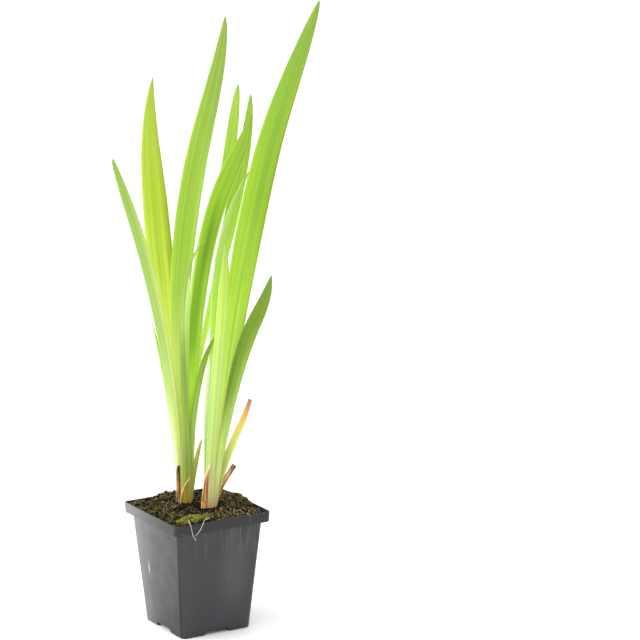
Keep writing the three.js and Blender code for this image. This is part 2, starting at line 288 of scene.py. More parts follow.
def one_side(recipe, outward, sideways):
    """1 on the side where the outward distance is the larger one, and 0 past its corners."""
    beyond = recipe.math("SUBTRACT", outward, recipe.math("ABSOLUTE", sideways))
    return recipe.times(beyond, SIDE_SHARPNESS, clamp=True)


def from_corner(recipe, distance):
    """A distance from the middle of the pot as a share that runs from 0 to 1 across it."""
    return recipe.math("ADD", recipe.times(distance, SHARES_PER_METRE), 0.5)


def drag_marks(recipe, x, tall):
    """The pale and the dark upright streaks under the collar."""
    ragged = recipe.noise(recipe.stretch(recipe.place, (160, 160, 2)), 1.0, 2.0)
    level = recipe.times(recipe.math("ADD", tall, recipe.times(ragged, 0.36)), 0.8)
    under_collar = recipe.ramp(level, [(0.67, 0.0), (0.82, 1.0)])
    off_collar = recipe.ramp(tall, [(0.92, 1.0), (0.935, 0.0)])
    under_collar = recipe.times(under_collar, off_collar)
    off_corner = recipe.ramp(from_corner(recipe, x), [(0.12, 0.0), (0.32, 1.0)])
    under_collar = recipe.times(under_collar, off_corner)
    streaks = recipe.noise(recipe.stretch(recipe.place, (330, 330, 5)), 1.0, 3.0, 0.6)
    pale = recipe.times(recipe.ramp(streaks, [(0.5, 0.0), (0.68, 1.0)]), under_collar)
    dark = recipe.times(recipe.ramp(streaks, [(0.3, 1.0), (0.46, 0.0)]), under_collar)
    return pale, dark


def flat_scuffs(recipe):
    """Thin level scuffs, in the few places where hands touch the pot."""
    lines = recipe.noise(recipe.stretch(recipe.place, (70, 70, 520)), 1.0, 3.0, 0.7)
    lines = recipe.ramp(lines, [(0.66, 0.0), (0.74, 1.0)])
    few = recipe.ramp(recipe.noise(recipe.place, 38.0, 1.0), [(0.56, 0.0), (0.62, 1.0)])
    return recipe.times(lines, few)


# %% Pot plastic
def mix_pot_plastic():
    recipe = Recipe("grey_nursery_plastic", roughness=0.38, specular=0.4)
    place = recipe.place
    x, y, height = recipe.split(place)
    tall = recipe.times(height, SHARES_PER_METRE)
    pale_streaks, dark_streaks = drag_marks(recipe, x, tall)
    soft = recipe.noise(recipe.stretch(place, (26, 26, 14)), 1.0, 2.0)
    soft = recipe.ramp(soft, [(0.4, 0.0), (0.7, 1.0)])
    specks = recipe.ramp(recipe.noise(place, 620.0, 1.0), [(0.79, 0.0), (0.82, 1.0)])
    left_side = one_side(recipe, recipe.times(x, -1.0), y)
    front_side = one_side(recipe, recipe.times(y, -1.0), x)
    along_side = from_corner(recipe, y)
    # Painted light: the left side grows paler towards its back edge.
    painted_light_left_side = recipe.times(recipe.ramp(along_side, [(0.4, 0.0), (0.62, 0.18), (0.84, 1.0)]), left_side)
    # The left side's collar is a little paler.
    pale_left_collar = recipe.times(recipe.ramp(tall, [(0.9, 0.0), (0.93, 0.3)]), left_side)
    # Painted shade: the left side is nearly black beside the front corner.
    painted_shade_near_corner = recipe.times(left_side, recipe.ramp(along_side, [(0.2, 0.95), (0.64, 0.0)]))
    # The front side's collar is darker.
    dark_front_collar = recipe.times(recipe.ramp(tall, [(0.9, 0.0), (0.93, 0.8)]), front_side)
    pale_patch = recipe.patch(place, (14, -40, 44), (18, 8, 40), 0.4)
    base = (0.024, 0.025, 0.029, 1)
    for factor, colour in (
        (recipe.times(soft, 0.35), (0.041, 0.043, 0.048, 1)),
        (pale_patch, (0.09, 0.091, 0.096, 1)),
        (recipe.times(pale_streaks, 0.4), (0.13, 0.132, 0.138, 1)),
        (recipe.times(dark_streaks, 0.75), (0.01, 0.01, 0.011, 1)),
        (recipe.times(painted_light_left_side, 0.9), (0.125, 0.127, 0.133, 1)),
        (pale_left_collar, (0.125, 0.122, 0.12, 1)),
        (painted_shade_near_corner, (0.004, 0.004, 0.005, 1)),
        (dark_front_collar, (0.008, 0.008, 0.009, 1)),
        (recipe.times(flat_scuffs(recipe), 0.4), (0.14, 0.14, 0.142, 1)),
        (recipe.times(specks, 0.6), (0.3, 0.29, 0.27, 1)),
    ):
        base = recipe.mix(factor, base, colour)
    for middle, half, strength in PALE_MARKS_AND_HIGHLIGHT:
        base = recipe.mix(recipe.patch(place, middle, half, strength), base, (0.62, 0.62, 0.63, 1))
    for middle in PAINTED_SHADE_DIMPLES:
        dimple_shade = recipe.patch(place, middle, (3, 0.9, 0.9), 0.8)
        base = recipe.mix(dimple_shade, base, (0.008, 0.008, 0.009, 1))
    recipe.colour(base)
    dull = recipe.ramp(recipe.noise(place, 90.0, 3.0, 0.5), [(0.35, 0.3), (0.65, 0.4)])
    recipe.rough(recipe.math("ADD", dull, recipe.times(pale_streaks, 0.12)))
    recipe.bump(recipe.noise(recipe.stretch(place, (1, 1, 0.35)), 120.0, 2.0), 0.12, 0.0006)
    return recipe.material


pot_plastic = mix_pot_plastic()
print("mixed", pot_plastic.name)

# %% [markdown]
# ## The pot
#
# The pot is one thin skin, pressed in a mould: a tapering square cup with round corners, a step
# out to a collar, and a drain notch in the foot of each side. It is made as the mould would: a
# flat disc with the corner points of the base is extruded ring by ring to the rim, and a second,
# smaller cup is taken out of it. Four blocks cut the notches.

# %% Pot sizes
POT_HEIGHT = 101.8
RIM_WIDTH = 90.6
COLLAR_FOOT_WIDTH = 89.6
COLLAR_FOOT = 93.0
WAIST_WIDTH = 80.2
BASE_WIDTH = 65.2
WALL = 1.0
RIM_CORNER = 3.6
WAIST_CORNER = 3.2
BASE_CORNER = 5.0
CORNER_STEPS = 9
CREASE = math.radians(35)


def square_ring(width, corner, height):
    """The corner points of a round-cornered square, anticlockwise, in metres."""
    ring = []
    for side in range(4):
        sign_x = 1 if side in (0, 3) else -1
        sign_y = 1 if side < 2 else -1
        for step in range(CORNER_STEPS + 1):
            angle = (side + step / CORNER_STEPS) * math.pi / 2
            x = sign_x * (width / 2 - corner) + corner * math.cos(angle)
            y = sign_y * (width / 2 - corner) + corner * math.sin(angle)
            ring.append(Vector((x, y, height)) * MM)
    return ring


def by_angle(vertex):
    return math.atan2(vertex.co.y, vertex.co.x) % (2 * math.pi)


def place_selected(ring):
    """Moves the selected ring of vertices to the places in ring."""
    mesh = bmesh.from_edit_mesh(bpy.context.object.data)
    chosen = sorted([vertex for vertex in mesh.verts if vertex.select], key=by_angle)
    for vertex, place in zip(chosen, ring):
        vertex.co = place
    bmesh.update_edit_mesh(bpy.context.object.data)


def press_cup(name, levels):
    """A closed cup, extruded through rings of (width, corner, height)."""
    bpy.ops.object.select_all(action="DESELECT")
    bpy.ops.mesh.primitive_circle_add(vertices=4 * (CORNER_STEPS + 1), radius=0.03, fill_type="NGON")
    cup = bpy.context.object
    cup.name = name
    bpy.ops.object.mode_set(mode="EDIT")
    bpy.ops.mesh.select_all(action="SELECT")
    place_selected(square_ring(*levels[0]))
    for level in levels[1:]:
        bpy.ops.mesh.extrude_region_move()
        place_selected(square_ring(*level))
    bpy.ops.mesh.select_all(action="SELECT")
    bpy.ops.mesh.normals_make_consistent(inside=False)
    bpy.ops.object.mode_set(mode="OBJECT")
    return cup


def pick(piece):
    """Selects this piece alone and makes it the active one."""
    bpy.ops.object.select_all(action="DESELECT")
    piece.select_set(True)
    bpy.context.view_layer.objects.active = piece


def take_away(piece, cutter):
    """Cuts the cutter's shape out of the piece and removes the cutter."""
    pick(piece)
    cut = piece.modifiers.new("cut", "BOOLEAN")
    cut.operation = "DIFFERENCE"
    cut.solver = "EXACT"
    cut.object = cutter
    bpy.ops.object.modifier_apply(modifier=cut.name)
    bpy.data.objects.remove(cutter)


def settle(piece):
    """Applies the piece's place, so that it sits at the origin, unturned and unscaled."""
    pick(piece)
    bpy.ops.object.transform_apply(location=True, rotation=True, scale=True)


# %% Notch blocks
NOTCH_FOOT = 13.0
NOTCH_ROOF = 10.5
NOTCH_HEIGHT = 3.5
NOTCH_REACH = 12.0
SLOT_WIDTH = 17
SLOT_DEPTH = 6
SLOT_HEIGHT = 3
CUT_CLEARANCE = 2


def stand_block(side, corner_place):
    """A cube whose corners go to the places that a rule gives, turned to one side of the pot."""
    bpy.ops.object.select_all(action="DESELECT")
    bpy.ops.mesh.primitive_cube_add(size=1)
    block = bpy.context.object
    for vertex in block.data.vertices:
        vertex.co = Vector(corner_place(vertex.co)) * MM
    block.rotation_euler = (0, 0, side * math.pi / 2)
    settle(block)
    return block


def notch_block(side, margin):
    """A block that cuts one drain notch, wider at its foot, grown by a margin."""
    reach = NOTCH_REACH + margin + CUT_CLEARANCE

    def corner_place(corner):
        upper = corner.z > 0
        half = (NOTCH_ROOF if upper else NOTCH_FOOT) + margin
        away = BASE_WIDTH / 2 + CUT_CLEARANCE - (reach if corner.y < 0 else 0)
        height = NOTCH_HEIGHT + margin if upper else -1.0
        return math.copysign(half, corner.x), away, height

    return stand_block(side, corner_place)


def slot_block(side):
    """A block that cuts the drain slot in one notch's roof."""

    def corner_place(corner):
        away = BASE_WIDTH / 2 - NOTCH_REACH + 4 + corner.y * SLOT_DEPTH
        return corner.x * SLOT_WIDTH, away, NOTCH_HEIGHT + 0.5 + corner.z * SLOT_HEIGHT

    return stand_block(side, corner_place)


# %% Press the pot
pot = press_cup("moulded_pot", [
    (BASE_WIDTH - 2.4, BASE_CORNER - 1.2, 0.0),
    (BASE_WIDTH - 0.7, BASE_CORNER - 0.35, 0.4),
    (BASE_WIDTH, BASE_CORNER, 1.3),
    (WAIST_WIDTH, WAIST_CORNER, COLLAR_FOOT - 0.4),
    (WAIST_WIDTH + 0.5, WAIST_CORNER, COLLAR_FOOT),
    (COLLAR_FOOT_WIDTH - 0.6, RIM_CORNER - 0.2, COLLAR_FOOT),
    (COLLAR_FOOT_WIDTH, RIM_CORNER, COLLAR_FOOT + 0.35),
    (RIM_WIDTH - 0.05, RIM_CORNER, POT_HEIGHT - 0.5),
    (RIM_WIDTH - 0.2, RIM_CORNER, POT_HEIGHT - 0.15),
    (RIM_WIDTH - 0.6, RIM_CORNER - 0.2, POT_HEIGHT),
])
hollow = press_cup("pot_hollow", [
    (BASE_WIDTH - 2 * WALL, BASE_CORNER - WALL, WALL),
    (WAIST_WIDTH - 2 * WALL, WAIST_CORNER - WALL, COLLAR_FOOT + WALL),
    (COLLAR_FOOT_WIDTH - 2 * WALL, RIM_CORNER - WALL, COLLAR_FOOT + WALL),
    (RIM_WIDTH - 2 * WALL, RIM_CORNER - WALL, POT_HEIGHT - 0.4),
    (RIM_WIDTH - 1.5 * WALL, RIM_CORNER - 0.75 * WALL, POT_HEIGHT + 0.1),
    (RIM_WIDTH - 1.5 * WALL, RIM_CORNER - 0.75 * WALL, POT_HEIGHT + 1),
])
for side in range(4):
    take_away(pot, notch_block(side, 0.0))
    take_away(hollow, notch_block(side, WALL))
take_away(pot, hollow)
for side in range(4):
    take_away(pot, slot_block(side))
settle(pot)
bpy.ops.object.shade_smooth_by_angle(angle=CREASE)
pot.data.materials.append(pot_plastic)
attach(pot, "root")
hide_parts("pot")
print("pressed the pot:", len(pot.data.polygons), "faces")

# %% [markdown]
# ## How the leaves grow
#
# An iris leaf is a sword: two flat faces, thick along the middle and sharp at both margins, that
# clasps the next leaf at its foot. Each leaf here follows a curve with a foot, two handles and a
# tip, measured across the fan, away from the viewer and up. Its size is the width of the foot,
# the greatest width, and the share of the length where that lies. fill and point shape the width
# below and above that place, and the face turns slowly on the way up. A plain grid gives the rows
# and columns, and a rule puts every vertex in its place.
#
# The solids' feet are thin, so that they stand clear of each other. Here the feet are thicker, as
# real ones are, and touch, so that each fan rises from the soil as one.
#
# Colours change along a leaf, from the pale foot to the green blade and the dry point, so each
# leaf carries its own short list of colours with the share of its length where they lie. Where a
# leaf stands in the shade of its neighbours, its colours there are made brighter, a painted light
# against that shade.

# %% Leaf list
FAN_TURN = math.radians(-31.5)
FOOT_LEVEL = 93.3
FOOT_THICKNESS = 2.4
DRY_THICKNESS = 0.95
TIP_THICKNESS = 0.6
THINNING = 1.3
TURN_DELAY = 1.5
SKEW_START = 0.7
LEAVES = {
    "left_outer": dict(
        foot=(-12.6, 2.6), lower=(-13.2, 2.4, 185.3), upper=(-31, 0, 302.3), tip=(-64.8, -14, 397.3),
        size=(5, 9.6, 0.72), fill=0.7, point=0.5, turn=22, skew=-0.3,
        colours=[
            (0.0, (216, 196, 110)), (0.06, (230, 234, 164)), (0.22, (226, 236, 156)),
            (0.5, (188, 214, 124)), (0.9, (168, 198, 106)),
        ],
        bands=[
            (0.9, 0.3, 0.2, 0.8, (232, 242, 160), 0.7), (0.1, 0.3, 0.3, 1.0, (160, 198, 118), 0.5),
            (0.04, 0.26, 0.02, 0.28, (246, 248, 222), 0.8),
        ],
    ),
    "left_sliver": dict(
        foot=(-14.4, 3.9), lower=(-15, 3.8, 151.3), upper=(-25, 3.4, 216.3), tip=(-36, 1, 261.3),
        size=(3, 3.6, 0.6), fill=1, point=0.8, turn=0,
        colours=[
            (0.0, (228, 240, 172)), (0.4, (220, 238, 166)), (0.9, (190, 220, 128)),
        ],
    ),
    "left_broad": dict(
        foot=(-11.8, 6.6), lower=(-14.8, 13, 237), upper=(-43.1, 26, 363.3), tip=(-34, 34, 457.3),
        size=(4.8, 21.2, 0.64), fill=1, point=0.85, turn=20, skew=-0.25,
        colours=[
            (0.0, (226, 206, 120)), (0.06, (236, 240, 170)), (0.3, (244, 250, 144)),
            (0.43, (246, 252, 138)), (0.55, (216, 232, 98)), (0.7, (194, 216, 70)),
            (0.95, (182, 206, 80)),
        ],
        bands=[
            (0.42, 0.1, 0.48, 0.8, (168, 202, 60), 0.6), (0.95, 0.2, 0.5, 1.0, (184, 196, 54), 0.6),
            (0.05, 0.22, 0.0, 0.6, (204, 232, 130), 0.6), (0.7, 0.12, 0.1, 0.5, (246, 252, 150), 0.5),
        ],
    ),
    "left_tall": dict(
        foot=(-11.4, 5.2), lower=(-26, 8, 348.7), upper=(8.5, 12, 398.8), tip=(26, 14, 509.3),
        size=(4.8, 19.1, 0.63), fill=1, point=0.62, turn=-24, skew=0.35,
        colours=[
            (0.0, (234, 199, 115)), (0.05, (252, 252, 192)), (0.2, (240, 246, 168)),
            (0.31, (226, 238, 140)), (0.45, (170, 206, 82)), (0.55, (154, 192, 60)),
            (0.75, (148, 184, 60)), (0.95, (138, 170, 70)),
        ],
        bands=[
            (0.94, 0.18, 0.2, 0.7, (196, 226, 104), 0.8), (0.03, 0.2, 0.3, 0.55, (184, 208, 64), 0.5),
            (0.9, 0.35, 0.78, 1.0, (144, 172, 88), 0.6), (1.0, 0.07, 0.4, 0.96, (206, 232, 140), 0.6),
        ],
    ),
    "left_inner": dict(
        foot=(-7.2, 3), lower=(-7, 6, 377.3), upper=(35.3, 6, 371.3), tip=(47, 2, 431.3),
        size=(3.6, 15.2, 0.8), fill=0.5, point=0.8, turn=-14,
        colours=[
            (0.03, (248, 203, 132)), (0.08, (239, 231, 134)), (0.2, (212, 248, 98)),
            (0.32, (208, 246, 80)), (0.42, (160, 204, 42)), (0.5, (140, 186, 28)),
            (0.72, (146, 190, 34)), (0.95, (146, 184, 54)),
        ],
        # The first two bands are painted shadows cast by leaves in front; the last is a painted
        # highlight along the right margin.
        bands=[
            (0.4, 0.36, 0.46, 0.72, (116, 166, 22), 0.55), (0.6, 0.32, 0.6, 0.75, (96, 146, 14), 0.72),
            (0.0, 0.22, 0.3, 0.62, (220, 248, 128), 0.75), (0.85, 0.2, 0.25, 0.6, (190, 226, 84), 0.5),
            (1.0, 0.09, 0.3, 0.96, (240, 250, 170), 0.85),
        ],
    ),
    "left_spear": dict(
        foot=(-7, 8.2), lower=(-18.6, 15, 204.6), upper=(30, 18, 294.6), tip=(46, 22, 444.5),
        size=(3.6, 12, 0.76), fill=3.4, point=0.6, turn=26, skew=0.3,
        colours=[
            (0.0, (200, 180, 96)), (0.06, (200, 218, 124)), (0.36, (238, 250, 156)),
            (0.48, (226, 248, 132)), (0.6, (212, 244, 136)), (0.7, (194, 230, 84)),
            (0.95, (178, 214, 88)),
        ],
        bands=[
            (0.0, 0.2, 0.68, 1.0, (164, 208, 70), 0.5), (0.0, 0.14, 0.3, 0.6, (246, 254, 190), 0.6),
        ],
    ),
    "left_back": dict(
        foot=(-6.6, 9.7), lower=(2.3, 32, 394.9), upper=(17.8, 33, 278.5), tip=(35.6, 44, 449.3),
        size=(4, 10.4, 0.84), fill=0.6, point=0.55, turn=-24, skew=-0.2,
        colours=[
            (0.0, (206, 190, 100)), (0.06, (210, 222, 130)), (0.3, (206, 226, 110)),
            (0.6, (184, 214, 84)), (0.9, (172, 204, 78)),
        ],
        bands=[
            (1.0, 0.2, 0.3, 0.9, (210, 236, 110), 0.7), (0.0, 0.2, 0.1, 0.6, (216, 238, 130), 0.6),
        ],
    ),
    "left_curled": dict(
        foot=(-9.6, -1.2), lower=(-3, -2, 212.3), upper=(-25, -5, 296.3), tip=(10, -9, 330.3),
        size=(8.6, 3.8, 0.66), fill=1, point=0.8, turn=12, cup=0.9,
        colours=[
            (0.03, (206, 140, 67)), (0.07, (185, 160, 67)), (0.13, (159, 167, 70)),
            (0.2, (142, 164, 72)), (0.3, (152, 180, 84)), (0.56, (150, 182, 86)),
            (0.68, (186, 216, 108)), (0.95, (172, 200, 96)),
        ],
        # The first band is painted shade along the left margin.
        bands=[
            (0.12, 0.14, 0.1, 0.9, (100, 136, 60), 0.6), (0.85, 0.2, 0.05, 0.4, (182, 204, 110), 0.6),
            (0.45, 0.07, 0.0, 0.5, (126, 148, 64), 0.5), (0.7, 0.07, 0.0, 0.45, (126, 148, 62), 0.4),
        ],
    ),
    "left_thin": dict(
        foot=(-10.4, 1.4), lower=(-8.4, 1.8, 164.3), upper=(-10.4, 1, 225.3), tip=(-4, 0, 299.3),
        size=(3.4, 6.2, 0.6), fill=1, point=0.7, turn=0,
        colours=[
            (0.0, (206, 204, 124)), (0.3, (208, 228, 148)), (0.7, (194, 224, 122)),
            (0.88, (214, 238, 154)), (1.0, (232, 246, 186)),
        ],
        bands=[
            (0.25, 0.14, 0.2, 0.9, (236, 248, 190), 0.5), (0.6, 0.12, 0.3, 0.9, (186, 218, 118), 0.4),
        ],
    ),
    "left_arching": dict(
        foot=(-6, 0.4), lower=(-6, 0.4, 140.3), upper=(-3, 0, 214.3), tip=(16, -5, 247.3),
        size=(4.4, 5.2, 0.8), fill=1, point=0.6, turn=14,
        colours=[
            (0.05, (241, 199, 125)), (0.15, (194, 196, 106)), (0.3, (160, 186, 82)),
            (0.7, (158, 194, 78)), (0.95, (160, 190, 80)),
        ],
        bands=[
            (0.15, 0.25, 0.3, 0.9, (112, 146, 54), 0.5), (0.95, 0.2, 0.25, 0.6, (196, 220, 130), 0.5),
        ],
    ),
    "left_young": dict(
        foot=(-5, 1.9), lower=(-7, 1.9, 107.3), upper=(0, 1.6, 147.3), tip=(5, 0, 160.3),
        size=(3, 4.2, 0.58), fill=1, point=0.6, turn=0,
        colours=[
            (0.0, (206, 176, 91)), (0.5, (172, 184, 82)), (0.9, (176, 190, 80)),
        ],
    ),
    "right_tall": dict(
        foot=(12, -7), lower=(25.4, -7, 234), upper=(47.3, -9, 405.5), tip=(102, -16, 525.6),
        size=(6, 22, 0.58), fill=0.87, point=0.62, turn=-20, skew=0.5,
        colours=[
            (0.02, (227, 184, 126)), (0.06, (237, 226, 178)), (0.15, (235, 235, 163)),
            (0.25, (226, 244, 138)), (0.34, (208, 236, 110)), (0.43, (192, 226, 82)),
            (0.6, (156, 198, 56)), (0.8, (146, 186, 58)), (0.95, (136, 170, 66)),
        ],
        bands=[
            (0.62, 0.13, 0.52, 0.9, (124, 170, 58), 0.75), (0.5, 0.1, 0.3, 0.55, (168, 206, 74), 0.5),
            (0.97, 0.16, 0.52, 0.9, (156, 182, 48), 0.7), (0.97, 0.12, 0.36, 0.5, (200, 222, 90), 0.4),
            (0.15, 0.35, 0.5, 0.75, (170, 208, 58), 0.5),
        ],
    ),
    "right_short": dict(
        foot=(12.9, -8.4), lower=(34.6, -9.5, 264.3), upper=(50, -13, 250.3), tip=(63.2, -26, 304.3),
        size=(4.4, 13.4, 0.78), fill=1.4, point=0.85, turn=24, skew=0.2,
        colours=[
            (0.03, (227, 179, 126)), (0.09, (237, 226, 178)), (0.18, (233, 235, 173)),
            (0.3, (206, 232, 132)), (0.5, (140, 176, 62)), (0.7, (132, 168, 52)), (0.95, (132, 164, 60)),
        ],
        bands=[
            (0.15, 0.25, 0.42, 0.7, (100, 136, 44), 0.65), (0.9, 0.45, 0.1, 0.66, (188, 216, 112), 0.7),
        ],
    ),
    "right_pale": dict(
        foot=(10.9, -9.8), lower=(11.7, -11.5, 191.3), upper=(26, -15, 265.3), tip=(26, -22, 332.3),
        size=(6.8, 9.4, 0.78), fill=0.4, point=1.05, turn=-12, cup=0.6,
        colours=[
            (0.02, (224, 166, 112)), (0.06, (232, 206, 150)), (0.11, (224, 224, 154)),
            (0.17, (208, 226, 144)), (0.3, (206, 228, 142)), (0.5, (212, 232, 146)),
            (0.75, (202, 228, 112)), (0.95, (186, 212, 92)),
        ],
        bands=[
            (0.08, 0.2, 0.05, 0.6, (164, 202, 122), 0.7), (0.5, 0.1, 0.3, 0.9, (226, 240, 120), 0.5),
            (0.9, 0.15, 0.2, 0.7, (178, 210, 90), 0.4),
        ],
    ),
    "right_narrow": dict(
        foot=(7.8, -8.4), lower=(10, -8.6, 142.3), upper=(8.8, -9.4, 189.3), tip=(12, -12, 235.3),
        size=(4.2, 5.6, 0.6), fill=1, point=0.55, turn=0,
        colours=[
            (0.03, (212, 166, 106)), (0.08, (206, 206, 140)), (0.3, (180, 208, 132)),
            (0.6, (206, 222, 168)), (0.9, (232, 240, 204)),
        ],
        bands=[
            (0.2, 0.2, 0.0, 0.6, (150, 188, 110), 0.6),
        ],
    ),
    "right_slim": dict(
        foot=(10, -5.6), lower=(21.4, -2.6, 236.8), upper=(1.8, 0, 310), tip=(46, 4, 385.3),
        size=(4, 6.8, 0.7), fill=1, point=0.7, turn=14,
        colours=[
            (0.0, (206, 196, 120)), (0.08, (208, 222, 150)), (0.4, (206, 232, 130)),
            (0.6, (196, 234, 118)), (0.9, (190, 218, 126)),
        ],
    ),
    "right_dying": dict(
        foot=(14.4, -5.6), lower=(17.6, -5.2, 143.3), upper=(38, -5.4, 167.3), tip=(45, -6.4, 195.3),
        size=(3.2, 6.4, 0.48), fill=1, point=0.8, turn=-10, cut=3.2,
        colours=[
            (0.0, (206, 176, 90)), (0.12, (204, 208, 118)), (0.3, (188, 202, 112)),
            (0.44, (178, 194, 110)), (0.53, (190, 202, 116)), (0.66, (212, 218, 128)),
            (0.74, (226, 216, 120)), (0.81, (236, 204, 104)), (0.9, (224, 170, 112)),
            (1.0, (188, 136, 114)),
        ],
        bands=[
            (0.9, 0.25, 0.2, 0.8, (238, 238, 170), 0.5),
        ],
    ),
}
DRY_LEAVES = {
    "torn_sheath": dict(
        node="sheath_left_torn",
        foot=(-12, -2.9), lower=(-14.5, -3, 109.3), upper=(-12, -3.4, 118.3), tip=(-5, -5, 128.3),
        size=(2.8, 2, 0.5), fill=1, point=0.9, turn=0, cup=0.5, ragged=0.8,
        colours=[
            (0.0, (168, 96, 28)), (0.3, (212, 148, 48)), (0.55, (224, 162, 70)), (0.75, (238, 200, 130)),
            (1.0, (246, 232, 196)),
        ],
        bands=[
            (0.15, 0.25, 0.0, 0.6, (236, 170, 66), 0.7), (0.85, 0.3, 0.0, 0.5, (126, 84, 30), 0.7),
        ],
    ),
    "brown_stub": dict(
        node="stub_left_brown",
        foot=(-15.4, 1.2), lower=(-15.6, 1.2, 107.3), upper=(-15.6, 1.1, 121.3), tip=(-15, 1, 136.3),
        size=(3.4, 3.8, 0.5), fill=1, point=1, turn=0, cut=2.6, cup=0.6, ragged=1.6,
        colours=[
            # The first two colours, near black, are painted shade where the stub's foot stands in a dark
            # hollow of the soil.
            (0.0, (28, 20, 11)), (0.38, (36, 25, 13)), (0.46, (150, 92, 44)), (0.56, (200, 140, 74)),
            (0.66, (140, 86, 40)), (0.78, (58, 34, 12)), (1.0, (44, 28, 10)),
        ],
        bands=[
            (0.8, 0.3, 0.1, 0.75, (74, 38, 14), 0.85), (0.08, 0.22, 0.46, 0.8, (240, 212, 146), 0.8),
        ],
    ),
    "cut_stub": dict(
        node="stub_right_cut",
        foot=(14.6, -4.2), lower=(12.8, -4, 109.3), upper=(21.8, -4, 123.3), tip=(31.8, -4.2, 138.6),
        size=(4, 4.4, 0.9), fill=1, point=1, turn=0, cut=4.2, cup=0.7, ragged=0.5,
        colours=[
            (0.0, (120, 68, 22)), (0.25, (190, 128, 56)), (0.6, (214, 164, 100)),
            (0.88, (204, 156, 112)), (0.95, (120, 84, 60)), (1.0, (72, 52, 40)),
        ],
        bands=[
            (0.85, 0.3, 0.0, 0.85, (158, 84, 28), 0.8), (0.15, 0.25, 0.15, 0.9, (240, 206, 156), 0.75),
        ],
    ),
    "brown_sheath": dict(
        node="sheath_right_brown",
        foot=(6.4, -11.2), lower=(7.6, -11.3, 109.3), upper=(7, -11.6, 125.3), tip=(12, -12.6, 142.3),
        size=(6.4, 4.6, 0.72), fill=1, point=0.8, turn=0, cup=0.9, ragged=1.8,
        colours=[
            (0.0, (160, 92, 28)), (0.25, (196, 132, 50)), (0.5, (188, 132, 64)), (0.68, (178, 128, 78)),
            (0.8, (232, 204, 152)), (1.0, (250, 236, 206)),
        ],
        bands=[
            (0.85, 0.22, 0.0, 0.66, (140, 78, 30), 0.8), (0.35, 0.1, 0.1, 0.7, (140, 80, 34), 0.7),
            (0.0, 0.15, 0.2, 0.95, (246, 216, 160), 0.85), (1.0, 0.16, 0.5, 1.0, (252, 234, 200), 0.85),
            (0.6, 0.2, 0.62, 0.84, (150, 92, 52), 0.6),
        ],
    ),
}
print("leaves:", len(LEAVES), "green,", len(DRY_LEAVES), "dry")

# %% [markdown]
# The green of a leaf is made of layers. The list of colours runs along the blade. Bands lie over
# it: each is a soft stripe with a middle and a half width across the blade, from 0 at the left
# margin to 1 at the right, a stretch of the length, a colour and a strength. A few bands are
# painted shadows cast by the leaves in front, and a few are painted highlights along a margin.
# Noise that is stretched along the blade gives the parallel veins, from broad ones down to fine
# ones. The margins are a little paler, because they are thin, and the paler edge also serves as a
# painted highlight along them. Part of the light goes through the blade, which is what makes an
# iris leaf glow against a window.

# %% Leaf colouring
LEAF_GAIN = 1.05
DEEP_GREEN = (86, 116, 30)
LIGHT_GREEN = (238, 244, 132)
DRY_POINT = (146, 160, 92)
VEINS_PER_MM = (0.35, 0.9, 3.2)


def soft_band(recipe, across, along, band):
    """How strongly a band colours each place, from 0 to its strength."""
    middle, half, start, end, _, strength = band
    off = recipe.math("ABSOLUTE", recipe.math("SUBTRACT", across, middle))
    near = recipe.ramp(recipe.math("DIVIDE", off, half), [(0.25, strength), (1.0, 0.0)])
    fade = max(0.02, 0.3 * (end - start))
    begun = recipe.ramp(along, [(max(0.0, start - fade), 0.0), (start + fade, 1.0)])
    over = recipe.ramp(along, [(end - fade, 1.0), (min(1.0, end + fade), 0.0)])
    return recipe.times(near, recipe.times(begun, over))


def lay_colours(recipe, leaf):
    """The places across and along the blade, and its colours with the bands over them."""
    across, along, _ = recipe.split(recipe.coords.outputs["UV"])
    stops = [(place, linear(colour, LEAF_GAIN)) for place, colour in leaf["colours"]]
    body = recipe.ramp(along, stops)
    for band in leaf.get("bands", []):
        body = recipe.mix(soft_band(recipe, across, along, band), body, linear(band[4], LEAF_GAIN))
    return across, along, body


def off_middle(recipe, across):
    """The distance from the blade's middle line, from 0 to 0.5 at either margin."""
    return recipe.math("ABSOLUTE", recipe.math("SUBTRACT", across, 0.5))


def mix_leaf_green(name, leaf, seed):
    recipe = Recipe("leaf_green_" + name, roughness=0.48, specular=0.25)
    across, along, body = lay_colours(recipe, leaf)
    veins = []
    for per_mm in VEINS_PER_MM:
        grid = recipe.join(recipe.times(across, per_mm * leaf["size"][1]), along, seed)
        veins.append(recipe.noise(grid, 1.2, 2.0))
    broad, narrow, fine = veins
    from_middle = off_middle(recipe, across)
    deep = recipe.mix(0.5, body, linear(DEEP_GREEN, LEAF_GAIN))
    light = recipe.mix(0.5, body, linear(LIGHT_GREEN, LEAF_GAIN))
    for source, stops, shade in (
        (broad, [(0.3, 0.3), (0.5, 0.0)], deep),
        (broad, [(0.5, 0.0), (0.72, 0.35)], light),
        (narrow, [(0.32, 0.4), (0.5, 0.0)], deep),
        (narrow, [(0.52, 0.0), (0.72, 0.3)], light),
        (fine, [(0.35, 0.22), (0.55, 0.0)], deep),
        (from_middle, [(0.0, 0.15), (0.09, 0.0)], deep),
        (from_middle, [(0.465, 0.0), (0.5, 0.45)], light),
        (along, [(0.965, 0.0), (0.998, 0.45)], linear(DRY_POINT, LEAF_GAIN)),
    ):
        body = recipe.mix(recipe.ramp(source, stops), body, shade)
    recipe.colour(body)
    recipe.rough(recipe.ramp(narrow, [(0.3, 0.52), (0.7, 0.4)]))
    recipe.bump(fine, 0.35, 0.0003)
    recipe.glow_through(0.42, recipe.mix(0.35, body, light))
    return recipe.material


# %% Dry leaf colouring
DRY_BROWN = (70, 34, 12)
DRY_STRAW = (255, 236, 186)
DRY_MARGIN = (238, 176, 96)


